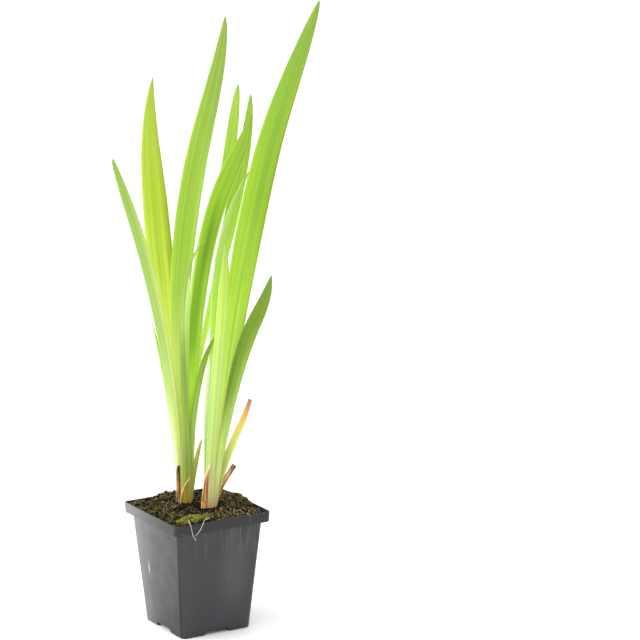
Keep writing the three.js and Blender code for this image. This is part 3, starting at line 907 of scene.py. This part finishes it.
def mix_dry_leaf(name, leaf, seed):
    recipe = Recipe("dry_leaf_" + name, roughness=0.75, specular=0.2)
    across, along, body = lay_colours(recipe, leaf)
    grid = recipe.join(recipe.times(across, 0.7 * leaf["size"][1]), along, seed)
    fibres = recipe.noise(grid, 1.7, 4.0, 0.6)
    blotches = recipe.noise(recipe.stretch(recipe.place, (1, 1, 0.35)), 330.0, 4.0, 0.65)
    dark = recipe.mix(0.8, body, linear(DRY_BROWN, LEAF_GAIN))
    light = recipe.mix(0.65, body, linear(DRY_STRAW, LEAF_GAIN))
    for source, stops, shade in (
        (fibres, [(0.36, 0.85), (0.49, 0.0)], dark),
        (fibres, [(0.51, 0.0), (0.64, 0.75)], light),
        (blotches, [(0.38, 0.9), (0.49, 0.0)], dark),
        (off_middle(recipe, across), [(0.36, 0.0), (0.48, 0.6)], linear(DRY_MARGIN, LEAF_GAIN)),
    ):
        body = recipe.mix(recipe.ramp(source, stops), body, shade)
    recipe.colour(body)
    recipe.bump(fibres, 0.6, 0.0004)
    recipe.glow_through(0.25, light)
    return recipe.material


print("leaf recipes ready")

# %% [markdown]
# ## Growing one leaf
#
# The curve is measured first, so that a share of the leaf's length means the same everywhere. The
# grid's columns then run across the blade and its rows up along it. Small waves in the margins
# and a shallow cup at a clasping foot keep it from looking cut out of card. Solidify gives the
# thickness through a vertex group: full along the middle of the foot, thin at the margins, and
# thinner and thinner on the way up.

# %% Leaf rules
COLUMNS = 10
ROW_STEP = 4.0
ROW_CROWDING = 1.25
WAVE_LENGTH = 26
WAVE_DEPTH = 0.02
FRILL_LENGTH = 11
FRILL_DEPTH = 0.035
STIFF_SHARE = 0.35
RAGGED_START = 0.9
THINNEST_MARGIN = 0.14
MERGE_DISTANCE = 0.03 * MM


def smooth(share):
    return share * share * (3 - 2 * share)


def curve_point(handles, t):
    a, b, c, d = handles
    left = 1 - t
    return a * left**3 + b * 3 * left * left * t + c * 3 * left * t * t + d * t**3


def measure_curve(handles, steps=200):
    """The lengths run up to evenly spaced steps of the curve."""
    points = [curve_point(handles, step / steps) for step in range(steps + 1)]
    runs = [0.0]
    for before, after in zip(points, points[1:]):
        runs.append(runs[-1] + (after - before).length)
    return runs


def at_share(handles, runs, share):
    """The point and the direction at a share of the curve's length."""
    target = share * runs[-1]
    steps = len(runs) - 1
    index = min(steps - 1, max(0, int(np.searchsorted(runs, target)) - 1))
    part = (target - runs[index]) / (runs[index + 1] - runs[index])
    t = (index + part) / steps
    ahead = curve_point(handles, min(1.0, t + 0.002))
    behind = curve_point(handles, max(0.0, t - 0.002))
    return curve_point(handles, t), (ahead - behind).normalized()


def leaf_width(leaf, share):
    foot_width, width, widest = leaf["size"]
    if share < widest:
        return foot_width + (width - foot_width) * smooth(share / widest) ** leaf["fill"]
    left = (1 - share) / (1 - widest)
    cut = leaf.get("cut", 0.0)
    return cut + (width - cut) * (1 - (1 - left) ** 2) ** leaf["point"]


def grow_leaf(name, leaf, chance, foot_thickness):
    """One blade, row by row on its curve. chance is its own source of small irregularities."""
    foot = Vector((*leaf["foot"], FOOT_LEVEL))
    handles = [foot, *(Vector(leaf[part]) for part in ("lower", "upper", "tip"))]
    runs = measure_curve(handles)
    length = runs[-1]
    rows = max(16, round(length / ROW_STEP))
    bpy.ops.object.select_all(action="DESELECT")
    bpy.ops.mesh.primitive_grid_add(x_subdivisions=COLUMNS, y_subdivisions=rows, size=2, calc_uvs=True)
    blade = bpy.context.object
    blade.name = "blade_" + name
    thickness = blade.vertex_groups.new(name="thickness")
    turned = Matrix.Rotation(FAN_TURN, 4, "Z")
    phase = chance.uniform(0, 100)
    shares = []
    for vertex in blade.data.vertices:
        side, row = vertex.co.x, (vertex.co.y + 1) / 2
        share = 1 - (1 - row) ** ROW_CROWDING
        shares.append((side, share))
        middle, along = at_share(handles, runs, share)
        turn = math.radians(leaf["turn"]) * share**TURN_DELAY
        across = Vector((math.cos(turn), math.sin(turn), 0))
        across = (across - along * across.dot(along)).normalized()
        through = along.cross(across)
        half = leaf_width(leaf, share) / 2
        lean = leaf.get("skew", 0.0) * smooth(max(0.0, (share - SKEW_START) / (1 - SKEW_START)))
        run = share * length
        free = half * smooth(min(1.0, share / STIFF_SHARE))
        wave = noise.noise(Vector((run / WAVE_LENGTH, side * 0.8, phase))) * WAVE_DEPTH * free
        frill = noise.noise(Vector((run / FRILL_LENGTH, side, phase + 9))) * FRILL_DEPTH * free
        frill *= side * side
        cup = -leaf.get("cup", 0.0) * (1 - side * side) * (1 - share)
        torn = 0.0
        if share > RAGGED_START:
            torn = leaf.get("ragged", 0.0) * noise.noise(Vector((side * 4, phase, 3)))
            torn *= (share - RAGGED_START) / (1 - RAGGED_START)
        place = middle + across * (side + lean) * half + through * (wave + frill + cup) + along * torn
        vertex.co = turned @ place * MM
        body = max(THINNEST_MARGIN, (1 - side * side) ** 0.7)
        part = TIP_THICKNESS / foot_thickness
        part += (1 - part) * (1 - share) ** THINNING
        thickness.add([vertex.index], body * part, "REPLACE")
    for loop, corner in zip(blade.data.loops, blade.data.uv_layers.active.data):
        side, share = shares[loop.vertex_index]
        corner.uv = ((side + 1) / 2, share)
    bpy.ops.object.mode_set(mode="EDIT")
    bpy.ops.mesh.select_all(action="SELECT")
    bpy.ops.mesh.remove_doubles(threshold=MERGE_DISTANCE)
    bpy.ops.object.mode_set(mode="OBJECT")
    shell = blade.modifiers.new("shell", "SOLIDIFY")
    shell.thickness = foot_thickness * MM
    shell.offset = 0
    shell.vertex_group = thickness.name
    bpy.ops.object.modifier_apply(modifier=shell.name)
    settle(blade)
    bpy.ops.object.shade_smooth()
    return blade


# %% Grow the fans
grown = 0
for number, (name, leaf) in enumerate(LEAVES.items()):
    blade = grow_leaf(name, leaf, random.Random(100 + number), FOOT_THICKNESS)
    blade.data.materials.append(mix_leaf_green(name, leaf, 3.7 * number))
    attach(blade, "root")
    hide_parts("leaf_" + name)
    grown += len(blade.data.polygons)
print("grew", len(LEAVES), "leaves with", grown, "faces")

# %% Old sheaths and stubs
for number, (name, leaf) in enumerate(DRY_LEAVES.items()):
    blade = grow_leaf(name, leaf, random.Random(200 + number), DRY_THICKNESS)
    blade.data.materials.append(mix_dry_leaf(name, leaf, 5.1 * number))
    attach(blade, "root")
    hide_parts(leaf["node"])
print("grew", len(DRY_LEAVES), "dry pieces")

# %% [markdown]
# ## The soil
#
# Moist peat is a dark, crumbly bed. Its large form is the solid's: a low heap round the leaves
# and dips in the corners. The bed is a fine grid that is pulled to the round-cornered inside of
# the pot, lifted by the same heaps and roughened by noise. The crumbs, fibres and moss on top are
# each one joined mesh, made of many copies of a few small shapes.

# %% Soil level
GAP = 0.3
SOIL_LEVEL = 100.8
# Each heap or dip has a middle, a rise and a spread.
HEAPS = [
    (-7, 8, 5, 12),
    (6, -12, 2.6, 11),
    (34, 2, 4.6, 17),
    (-3, 41, 3.5, 14),
    (-24, -24, 1.2, 12),
    (40, -40, -5, 12),
    (-41, 41, -3, 10),
    (26, -20, 1, 9),
]


def soil_height(x, y):
    """The level of the soil, in millimetres, as in the solid."""
    height = SOIL_LEVEL
    for heap_x, heap_y, rise, spread in HEAPS:
        height += rise * math.exp(-((x - heap_x) ** 2 + (y - heap_y) ** 2) / spread**2)
    return height


def crack_depth(x, y):
    """From 0 on a clump to 1 in the middle of the crack between two clumps."""
    bend = 1.5 * noise.noise(Vector((x / 4, y / 4, 30)))
    apart = abs(noise.noise(Vector(((x + bend) / 5.0, (y - bend) / 5.0, 12))))
    return max(0.0, 1 - apart / 0.15)


def soil_crumble(x, y):
    """Clumps with cracks between them, lumps of a few millimetres and grains of about one."""
    lumps = noise.fractal(Vector((x / 6.5, y / 6.5, 2.0)), 1.0, 2.0, 3)
    grains = noise.noise(Vector((x / 1.5, y / 1.5, 7.0)))
    return 0.4 + 0.8 * lumps + 0.35 * grains - 1.4 * crack_depth(x, y)


BED_WIDTH = RIM_WIDTH - 2 * WALL - 2 * GAP
BED_CORNER = RIM_CORNER - WALL - GAP
BED_CELLS = 170


def into_round_corner(x, y, width, corner):
    """Pulls a point of a square of that width into its round-cornered outline."""
    inner = width / 2 - corner
    over_x = max(0.0, abs(x) - inner)
    over_y = max(0.0, abs(y) - inner)
    if over_x == 0 or over_y == 0:
        return x, y
    keep = max(over_x, over_y) / math.hypot(over_x, over_y)
    return (
        math.copysign(inner + over_x * keep, x),
        math.copysign(inner + over_y * keep, y),
    )


# %% [markdown]
# The soil's colour is nearly black round the fans, where wet peat lies under painted shade of the
# leaves, and browner where it lies open at the front and right. Noise chooses between dark peat,
# brown peat and a thin green film of algae, and the cracks get a painted shade, darkest of all:
# their depth is stored on the mesh as an attribute.

# %% Soil colours
# Spots round the fans where the soil gets painted shade over wet peat: a middle and a radius.
SHADED_WET_SPOTS = [((-7, 8), 17), ((8, -8), 15), ((-8, -7), 19), ((6, 22), 22), ((2, -2), 16)]
DARK_PEAT = (16, 13, 8)
ALGAE_GREEN = (80, 78, 32)
PALE_GRAIN = (150, 130, 84)
PAINTED_CRACK_SHADE = (10, 8, 5)
PEAT_BROWNS = [(0.34, (17, 14, 8)), (0.5, (30, 25, 14)), (0.62, (50, 41, 24)), (0.74, (80, 68, 42))]


def shaded_wet_ground(recipe):
    """1 on the damp ground round the fans, which gets painted shade, and 0 on open ground, with a ragged
    edge.
    """
    place = recipe.place
    ragged = recipe.times(recipe.noise(place, 120.0, 3.0), 0.8)
    wet_and_shade = 0.0
    for (x, y), radius in SHADED_WET_SPOTS:
        away = recipe.math("ADD", recipe.reach(place, (x, y, 0), (radius, radius, 9000)), ragged)
        near = recipe.ramp(recipe.times(away, 0.5), [(0.42, 1.0), (0.8, 0.0)])
        wet_and_shade = recipe.math("MAXIMUM", near, wet_and_shade)
    return wet_and_shade


def mix_peat(name):
    recipe = Recipe(name, roughness=0.95, specular=0.12)
    place = recipe.place
    dark_peat = linear(DARK_PEAT)
    lumps = recipe.noise(place, 170.0, 5.0, 0.7)
    grains = recipe.noise(place, 900.0, 3.0, 0.7)
    body = recipe.ramp(lumps, [(stop, linear(colour)) for stop, colour in PEAT_BROWNS])
    algae = recipe.ramp(recipe.noise(place, 75.0, 3.0), [(0.54, 0.0), (0.68, 0.6)])
    body = recipe.mix(algae, body, linear(ALGAE_GREEN))
    # Painted shade: the ground round the fans is darkened.
    body = recipe.mix(shaded_wet_ground(recipe), body, recipe.mix(0.84, body, dark_peat))
    body = recipe.mix(recipe.ramp(grains, [(0.35, 0.7), (0.5, 0.0)]), body, dark_peat)
    body = recipe.mix(recipe.ramp(grains, [(0.62, 0.0), (0.75, 0.4)]), body, linear(PALE_GRAIN))
    # Painted shade: the cracks between clumps are darkened.
    body = recipe.mix(recipe.times(recipe.attribute("crack"), 0.9), body, linear(PAINTED_CRACK_SHADE))
    recipe.colour(body)
    recipe.bump(grains, 0.9, 0.0012)
    return recipe.material


def by_tint(recipe, colours):
    """The colour that each copy's own tint, from 0 to 1, picks from the list."""
    stops = [(index / (len(colours) - 1), linear(colour)) for index, colour in enumerate(colours)]
    return recipe.ramp(recipe.attribute("tint"), stops)


def mix_crumb(name, colours):
    recipe = Recipe(name, roughness=0.9, specular=0.15)
    grains = recipe.noise(recipe.place, 1300.0, 3.0, 0.6)
    body = by_tint(recipe, colours)
    dark = recipe.mix(0.6, body, (0.01, 0.009, 0.005, 1))
    body = recipe.mix(recipe.ramp(grains, [(0.35, 0.7), (0.55, 0.0)]), body, dark)
    # Painted shade: crumbs round the fans are darkened too.
    body = recipe.mix(shaded_wet_ground(recipe), body, recipe.mix(0.87, body, (0.008, 0.006, 0.004, 1)))
    recipe.colour(body)
    recipe.bump(grains, 0.5, 0.0005)
    return recipe.material


# %% Lay the soil bed
bpy.ops.object.select_all(action="DESELECT")
bpy.ops.mesh.primitive_grid_add(x_subdivisions=BED_CELLS, y_subdivisions=BED_CELLS, size=BED_WIDTH)
bed = bpy.context.object
bed.name = "peat_bed"
crack = bed.data.attributes.new("crack", "FLOAT", "POINT")
for vertex in bed.data.vertices:
    x, y = into_round_corner(vertex.co.x, vertex.co.y, BED_WIDTH, BED_CORNER)
    level = soil_height(x, y) + soil_crumble(x, y)
    edge = BED_WIDTH / 2 - max(abs(x), abs(y))
    level = min(level, POT_HEIGHT - 0.4 + 1.2 * edge)
    crack.data[vertex.index].value = crack_depth(x, y)
    vertex.co = Vector((x, y, level)) * MM
bpy.ops.object.mode_set(mode="EDIT")
bpy.ops.mesh.select_all(action="DESELECT")
bpy.ops.mesh.select_mode(type="EDGE")
bpy.ops.mesh.select_non_manifold()
SKIRT = [
    (BED_WIDTH - 0.4, BED_CORNER, 95.0),
    (WAIST_WIDTH - 2.8, WAIST_CORNER - WALL - GAP, 94.4),
    (BASE_WIDTH - 1.8, BASE_CORNER - WALL - GAP, 6.0),
]
for width, corner, height in SKIRT:
    bpy.ops.mesh.extrude_edges_move()
    skirt = bmesh.from_edit_mesh(bed.data)
    for vertex in skirt.verts:
        if vertex.select:
            reach = max(abs(vertex.co.x), abs(vertex.co.y))
            wide = vertex.co * (width / 2 / reach)
            x, y = into_round_corner(wide.x, wide.y, width, corner)
            vertex.co = Vector((x, y, height)) * MM
    bmesh.update_edit_mesh(bed.data)
bpy.ops.mesh.edge_face_add()
bpy.ops.mesh.select_all(action="SELECT")
bpy.ops.mesh.normals_make_consistent(inside=False)
bpy.ops.object.mode_set(mode="OBJECT")
settle(bed)
bpy.ops.object.shade_smooth()
bed.data.materials.append(mix_peat("dark_wet_peat"))
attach(bed, "root")
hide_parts("soil")
print("laid the soil bed:", len(bed.data.polygons), "faces")

# %% [markdown]
# ## Crumbs by the hundred
#
# One crumb is a ball of twenty faces, and a clump one of eighty, pushed out of round. Several such
# shapes are made and then sown: each copy gets its own turn, size and tint, and all copies become
# one mesh, which is much lighter than as many objects. More crumbs lie close round the feet of
# the two fans, so that the leaves stand in the soil and not on it.

# %% Sowing
def shape_seed(make, rough, chance):
    """Makes a primitive, roughens it and gives back its vertices and faces."""
    bpy.ops.object.select_all(action="DESELECT")
    make()
    seed = bpy.context.object
    for vertex in seed.data.vertices:
        vertex.co *= 1 + chance.uniform(-rough, rough)
    places = np.array([vertex.co[:] for vertex in seed.data.vertices])
    faces = [list(face.vertices) for face in seed.data.polygons]
    bpy.data.objects.remove(seed)
    return places, faces


def sow(name, seeds, copies):
    """Joins copies of the seeds. A copy is (seed number, place, turn, size, tint), in millimetres."""
    places, faces, tints = [], [], []
    start = 0
    for number, place, turn, size, tint in copies:
        shape, sides = seeds[number]
        turned = np.array(turn.to_matrix()) @ (shape * np.array(size)).T
        places.append(turned.T + np.array(place))
        faces.extend([[corner + start for corner in side] for side in sides])
        tints.append(np.full(len(shape), tint))
        start += len(shape)
    mesh = bpy.data.meshes.new(name)
    mesh.from_pydata((np.concatenate(places) * MM).tolist(), [], faces)
    mesh.attributes.new("tint", "FLOAT", "POINT").data.foreach_set("value", np.concatenate(tints))
    piece = bpy.data.objects.new(name, mesh)
    bpy.context.collection.objects.link(piece)
    print("sowed", name + ":", len(copies), "copies,", len(faces), "faces")
    return piece


def finish_cover(piece, material):
    """Smooths a sown piece, colours it and lets it ride with the pot."""
    pick(piece)
    bpy.ops.object.shade_smooth()
    piece.data.materials.append(material)
    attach(piece, "root")


def any_turn(chance):
    return Euler([chance.uniform(0, 2 * math.pi) for _ in range(3)])


def leaning_turn(chance, tilt):
    return Euler((chance.uniform(-tilt, tilt), chance.uniform(-tilt, tilt), chance.uniform(0, 6.28)))


def spot_in_pot(chance, inset=1.5):
    """A random place on the soil that is clear of the pot's wall by the inset."""
    half = BED_WIDTH / 2 - inset
    return chance.uniform(-half, half), chance.uniform(-half, half)


CROWD = 1.0
CRUMBS = 5600
CLUMP_EVERY = 16
CLOSE_EVERY = 11
SINGLE_SHOOTS = 1500
TUFTS = [(-17, 2), (-19, 4), (-20, -33), (30, -28)]
TUFT_SHOOTS = 26
TAN_FIBRES = 400
MOSS_THREADS = 470
FAN_FEET = [((-10, 3.5), (8.2, 8.6)), ((10.4, -8), (8.4, 6.4))]


def round_a_fan(chance):
    """A random place close round one fan's foot, in the pot's own directions."""
    (middle_u, middle_v), (half_u, half_v) = FAN_FEET[chance.randrange(2)]
    angle, away = chance.uniform(0, 2 * math.pi), chance.uniform(0.85, 1.25)
    u = middle_u + half_u * away * math.cos(angle)
    v = middle_v + half_v * away * math.sin(angle)
    cosine, sine = math.cos(FAN_TURN), math.sin(FAN_TURN)
    return u * cosine - v * sine, u * sine + v * cosine


# %% Sow the crumbs
chance = random.Random(7)
crumb_seeds = []
for faces in (1, 1, 1, 1, 2, 2, 2):
    crumb_seeds.append(shape_seed(
        lambda: bpy.ops.mesh.primitive_ico_sphere_add(subdivisions=faces, radius=0.5), 0.28, chance,
    ))
copies = []
for count in range(int(CRUMBS * CROWD)):
    clump = count % CLUMP_EVERY == 0
    close = count % CLOSE_EVERY == 5
    x, y = round_a_fan(chance) if close else spot_in_pot(chance)
    if crack_depth(x, y) > 0.45 and not close:
        continue
    size = chance.uniform(1.6, 3.2) if clump and not close else 0.5 + 1.3 * chance.random() ** 2
    level = soil_height(x, y) + soil_crumble(x, y) + (0.5 if close else 0.0)
    stretch = (size * chance.uniform(0.8, 1.4), size, size * chance.uniform(0.55, 0.9))
    number = chance.randrange(4, 7) if clump else chance.randrange(4)
    turn = any_turn(chance)
    copies.append((number, (x, y, level), turn, stretch, chance.random() ** (2.6 if clump else 1.9)))
crumbs = sow("peat_crumbs", crumb_seeds, copies)
CRUMB_BROWNS = [(14, 10, 6), (27, 21, 12), (54, 43, 25), (98, 80, 50), (184, 158, 114)]
finish_cover(crumbs, mix_crumb("crumb_browns", CRUMB_BROWNS))

# %% [markdown]
# ## Moss
#
# Moss grows in cushions of tiny shoots, each with narrow pointed leaves all round. One shoot is a
# ring of slim pyramids that lean outwards. The front cushion is the largest and brightest, and
# single shoots are scattered between the crumbs.

# %% Moss shoot
GOLDEN_TURN = 2.4
SHADED_MOSS = (66, 64, 24)


def moss_shoot(leaves, lean, chance):
    """The vertices and faces of one shoot, about one unit tall."""
    places, faces = [], []
    for index in range(leaves):
        level = 0.15 + 0.55 * index / leaves
        out = Matrix.Rotation(index * GOLDEN_TURN + chance.uniform(-0.4, 0.4), 3, "Z")
        tilt = lean * (1.2 - 0.7 * index / leaves) * chance.uniform(0.8, 1.2)
        long = chance.uniform(0.5, 0.75)
        tip = Vector((math.sin(tilt) * long, 0, level + math.cos(tilt) * long))
        belly = Vector((math.sin(tilt) * long * 0.45 + 0.04, 0, level + math.cos(tilt) * long * 0.4))
        side = Vector((0, 0.15, 0.03))
        corners = [
            Vector((0.02, 0, level)), belly + side, belly - side, belly - Vector((-0.05, 0, 0.08)), tip,
        ]
        start = len(places)
        places.extend([(out @ corner)[:] for corner in corners])
        for a, b, c in ((0, 3, 1), (0, 2, 3), (0, 1, 2), (4, 1, 3), (4, 3, 2), (4, 2, 1)):
            faces.append([start + a, start + b, start + c])
    return np.array(places), faces


moss_seeds = [moss_shoot(7, 1.0, chance), moss_shoot(8, 0.8, chance), moss_shoot(6, 1.25, chance)]


def mix_moss(name, colours):
    recipe = Recipe(name, roughness=0.8, specular=0.2)
    body = by_tint(recipe, colours)
    patches = recipe.noise(recipe.place, 260.0, 3.0)
    body = recipe.mix(recipe.ramp(patches, [(0.35, 0.45), (0.6, 0.0)]), body, linear(SHADED_MOSS))
    recipe.colour(body)
    recipe.glow_through(0.25, body)
    return recipe.material


# %% Plant the moss cushions
# Each cushion has a middle, two half widths, a rise and a number of shoots.
CUSHIONS = {
    "moss_front": (-23, -35.5, 15, 6.5, 3, 950),
    "moss_left": (-37, 36, 6, 7, 2.2, 300),
    "moss_back": (37, -8, 6, 10, 2, 380),
}
BRIGHT_MOSS = mix_moss("moss_yellow_greens", [
    (84, 88, 24), (136, 144, 42), (176, 184, 62), (206, 212, 92), (226, 226, 140),
])
OLIVE_MOSS = mix_moss("moss_olive_greens", [
    (60, 56, 24), (88, 84, 38), (118, 112, 54), (150, 140, 78), (188, 178, 118),
])
EDGE = BED_WIDTH / 2 - 0.4
for name, (centre_x, centre_y, half_x, half_y, rise, shoots) in CUSHIONS.items():
    copies = []
    while len(copies) < shoots * CROWD:
        away, angle = math.sqrt(chance.random()), chance.uniform(0, 2 * math.pi)
        x = centre_x + half_x * away * math.cos(angle)
        y = centre_y + half_y * away * math.sin(angle)
        thin = noise.noise(Vector((x / 3.2, y / 3.2, 41)))
        if abs(x) > EDGE or abs(y) > EDGE or thin < 0.55 * away - 0.5:
            continue
        dome = rise * math.sqrt(max(0.0, 1 - away * away)) * 0.7
        level = soil_height(x, y) + dome + 0.9 * noise.noise(Vector((x / 2.6, y / 2.6, 5)))
        size = chance.uniform(1.2, 2.4)
        turn = leaning_turn(chance, 0.8)
        copies.append((chance.randrange(3), (x, y, level), turn, (size, size, size), chance.random()))
    cushion = sow(name + "_shoots", moss_seeds, copies)
    finish_cover(cushion, BRIGHT_MOSS if name == "moss_front" else OLIVE_MOSS)
    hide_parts(name)

# %% Scatter single shoots
def on_shaded_wet_ground(x, y):
    for middle, radius in SHADED_WET_SPOTS:
        if math.hypot(x - middle[0], y - middle[1]) < 0.8 * radius:
            return True
    return False


copies = []
while len(copies) < SINGLE_SHOOTS * CROWD:
    x, y = spot_in_pot(chance, 1.0)
    if noise.noise(Vector((x / 8, y / 8, 20))) < (0.12 if x - y > 10 else 0.0):
        continue
    if on_shaded_wet_ground(x, y) and chance.random() < 0.85:
        continue
    size = chance.uniform(0.8, 1.7)
    level = soil_height(x, y) + soil_crumble(x, y)
    turn = leaning_turn(chance, 0.9)
    copies.append((chance.randrange(3), (x, y, level), turn, (size, size, size), chance.random() ** 1.4))
for tuft_x, tuft_y in TUFTS:
    for count in range(int(TUFT_SHOOTS * CROWD)):
        x, y = tuft_x + chance.gauss(0, 1.6), tuft_y + chance.gauss(0, 1.6)
        size = chance.uniform(0.9, 1.6)
        level = soil_height(x, y) + 0.8
        turn = leaning_turn(chance, 0.9)
        copies.append((
            chance.randrange(3), (x, y, level), turn, (size, size, size), chance.uniform(0.75, 1),
        ))
scatter = sow("scattered_moss", moss_seeds, copies)
finish_cover(scatter, OLIVE_MOSS)

# %% [markdown]
# ## Fibres and roots
#
# Peat is full of short tan fibres, and a few pale roots lie on it. A curve with a little
# thickness draws each one. All the fibres are splines of one curve, which then becomes one mesh.

# %% Fibre curves
def spin_fibres(name, routes, thickness, sides=1):
    """Turns routes, lists of (x, y, z, radius share), into one mesh of thin round fibres."""
    line = bpy.data.curves.new(name, "CURVE")
    line.dimensions = "3D"
    line.bevel_depth = thickness / 2 * MM
    line.bevel_resolution = sides
    line.use_fill_caps = True
    for route in routes:
        spline = line.splines.new("POLY")
        spline.points.add(len(route) - 1)
        for point, (x, y, z, share) in zip(spline.points, route):
            point.co = (x * MM, y * MM, z * MM, 1)
            point.radius = share
    fibres = bpy.data.objects.new(name, line)
    bpy.context.collection.objects.link(fibres)
    pick(fibres)
    bpy.ops.object.convert(target="MESH")
    fibres = bpy.context.object
    print("spun", name + ":", len(routes), "fibres,", len(fibres.data.polygons), "faces")
    return fibres


def lying_fibre(chance, x, y, length, lift, curl=0.5):
    """A route for one fibre that lies over the crumbs and turns up to curl at each step."""
    steps = 7
    heading = chance.uniform(0, 2 * math.pi)
    route = []
    for step in range(steps + 1):
        share = step / steps
        heading += chance.uniform(-curl, curl)
        x += length / steps * math.cos(heading)
        y += length / steps * math.sin(heading)
        x = max(-EDGE, min(EDGE, x))
        y = max(-EDGE, min(EDGE, y))
        arch = lift * math.sin(share * math.pi)
        level = soil_height(x, y) + soil_crumble(x, y) + 0.3 + arch
        route.append((x, y, level, 1 - 0.6 * share))
    return route


def mix_fibre(name, dark, light):
    recipe = Recipe(name, roughness=0.7, specular=0.2)
    change = recipe.noise(recipe.place, 160.0, 3.0)
    recipe.colour(recipe.ramp(change, [(0.35, linear(dark)), (0.65, linear(light))]))
    return recipe.material


# %% Spin the fibres
routes = []
for count in range(int(TAN_FIBRES * CROWD)):
    x, y = spot_in_pot(chance)
    if (x - y < 0 or on_shaded_wet_ground(x, y)) and chance.random() < 0.7:
        continue
    routes.append(lying_fibre(chance, x, y, chance.uniform(2, 9), chance.uniform(0, 1.6)))
fibres = spin_fibres("tan_fibres", routes, 0.25)
finish_cover(fibres, mix_fibre("fibre_tan", (104, 84, 52), (216, 192, 146)))

routes = []
for count in range(int(MOSS_THREADS * CROWD)):
    x, y = spot_in_pot(chance)
    if on_shaded_wet_ground(x, y) and chance.random() < 0.8:
        continue
    routes.append(lying_fibre(chance, x, y, chance.uniform(2, 6), chance.uniform(0.3, 1.8), curl=1.1))
threads = spin_fibres("moss_threads", routes, 0.22)
finish_cover(threads, mix_fibre("thread_olive", (76, 70, 32), (166, 154, 96)))

# %% [markdown]
# Two white roots have found their way over the rim and hang down the pot's front. They follow the
# same points as their solids, through a smooth curve, and thin out towards their ends. A few
# loose straw-coloured hairs stand up from the soil's edge.

# %% Hang the stray roots
STRAY_ROOTS = {
    "stray_root_long": [
        (-31.1, -42, 104.6), (-31.9, -44.2, 104.5), (-31.9, -46, 102.9), (-31.3, -46.4, 100.5),
        (-30.8, -46.4, 97.9), (-30.2, -46.3, 95.2), (-29.2, -46, 92.3), (-27.8, -45.8, 89.8),
        (-26.2, -45.6, 88.1),
    ],
    "stray_root_short": [
        (-11.4, -40.6, 103.6), (-14.6, -42.6, 104), (-17.8, -44.4, 103.4), (-19.6, -46, 101.8),
        (-21.1, -46.4, 99.4), (-22.3, -46.5, 97.3), (-24.1, -46.6, 95.2), (-26.4, -47, 93.6),
        (-27.6, -47.3, 92.9),
    ],
}


def smooth_route(points, steps=6):
    """A denser route through the points, with each stretch rounded by its neighbours."""
    points = [Vector(point) for point in points]
    dense = []
    for index in range(len(points) - 1):
        before = points[max(0, index - 1)]
        start, end = points[index], points[index + 1]
        after = points[min(len(points) - 1, index + 2)]
        for step in range(steps):
            t = step / steps
            dense.append(0.5 * (
                2 * start + (end - before) * t + (2 * before - 5 * start + 4 * end - after) * t**2
                + (3 * start - before - 3 * end + after) * t**3
            ))
    return [*dense, points[-1]]


root_white = mix_fibre("root_white", (206, 200, 184), (244, 240, 230))
for name, points in STRAY_ROOTS.items():
    dense = smooth_route(points)
    route = []
    for index, point in enumerate(dense):
        share = 1 - 0.5 * index / (len(dense) - 1)
        route.append((*point, share * (1 + 0.15 * noise.noise(point / 2))))
    root = spin_fibres(name + "_white", [route], 0.45, sides=3)
    finish_cover(root, root_white)
    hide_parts(name)

# %% Stand up the loose hairs
LOOSE_HAIRS = [
    [(-34, 41, 101.5), (-33.4, 41.6, 104.2), (-31.8, 42.2, 106), (-29.4, 42.6, 106.9)],
    [(-35.5, 40.4, 101.5), (-36.1, 40.8, 104), (-35.4, 41.2, 105.6)],
    [
        (23.4, -42, 102.4), (24.1, -44.6, 102.9), (24.4, -46.1, 101.3), (24.3, -46.2, 98.4),
        (24, -46.2, 95.8),
    ],
    [(16, -33, 101.6), (18, -35, 104), (20.5, -37.5, 104.4), (23, -39.5, 102)],
    [(24, -41, 101.4), (27, -40.5, 103.8), (30, -39, 104.4), (33, -38.5, 102.8), (35, -39, 100.4)],
    [(36, -33, 100.6), (37.5, -36, 103.2), (37.8, -38.6, 103.2), (37, -41, 100.8)],
    [(-14, -30, 102), (-10.5, -32.5, 105.6), (-8.4, -35.6, 105.2), (-9, -38, 102)],
    [(-8, -36, 101.8), (-6.4, -39.6, 104.2), (-8.6, -41.8, 103.4)],
]
hair_routes = []
for points in LOOSE_HAIRS:
    dense = smooth_route(points, steps=4)
    hair_routes.append([(*point, 1 - 0.5 * index / len(dense)) for index, point in enumerate(dense)])
hairs = spin_fibres("loose_hairs", hair_routes, 0.24)
finish_cover(hairs, mix_fibre("hair_straw", (160, 138, 96), (222, 204, 160)))
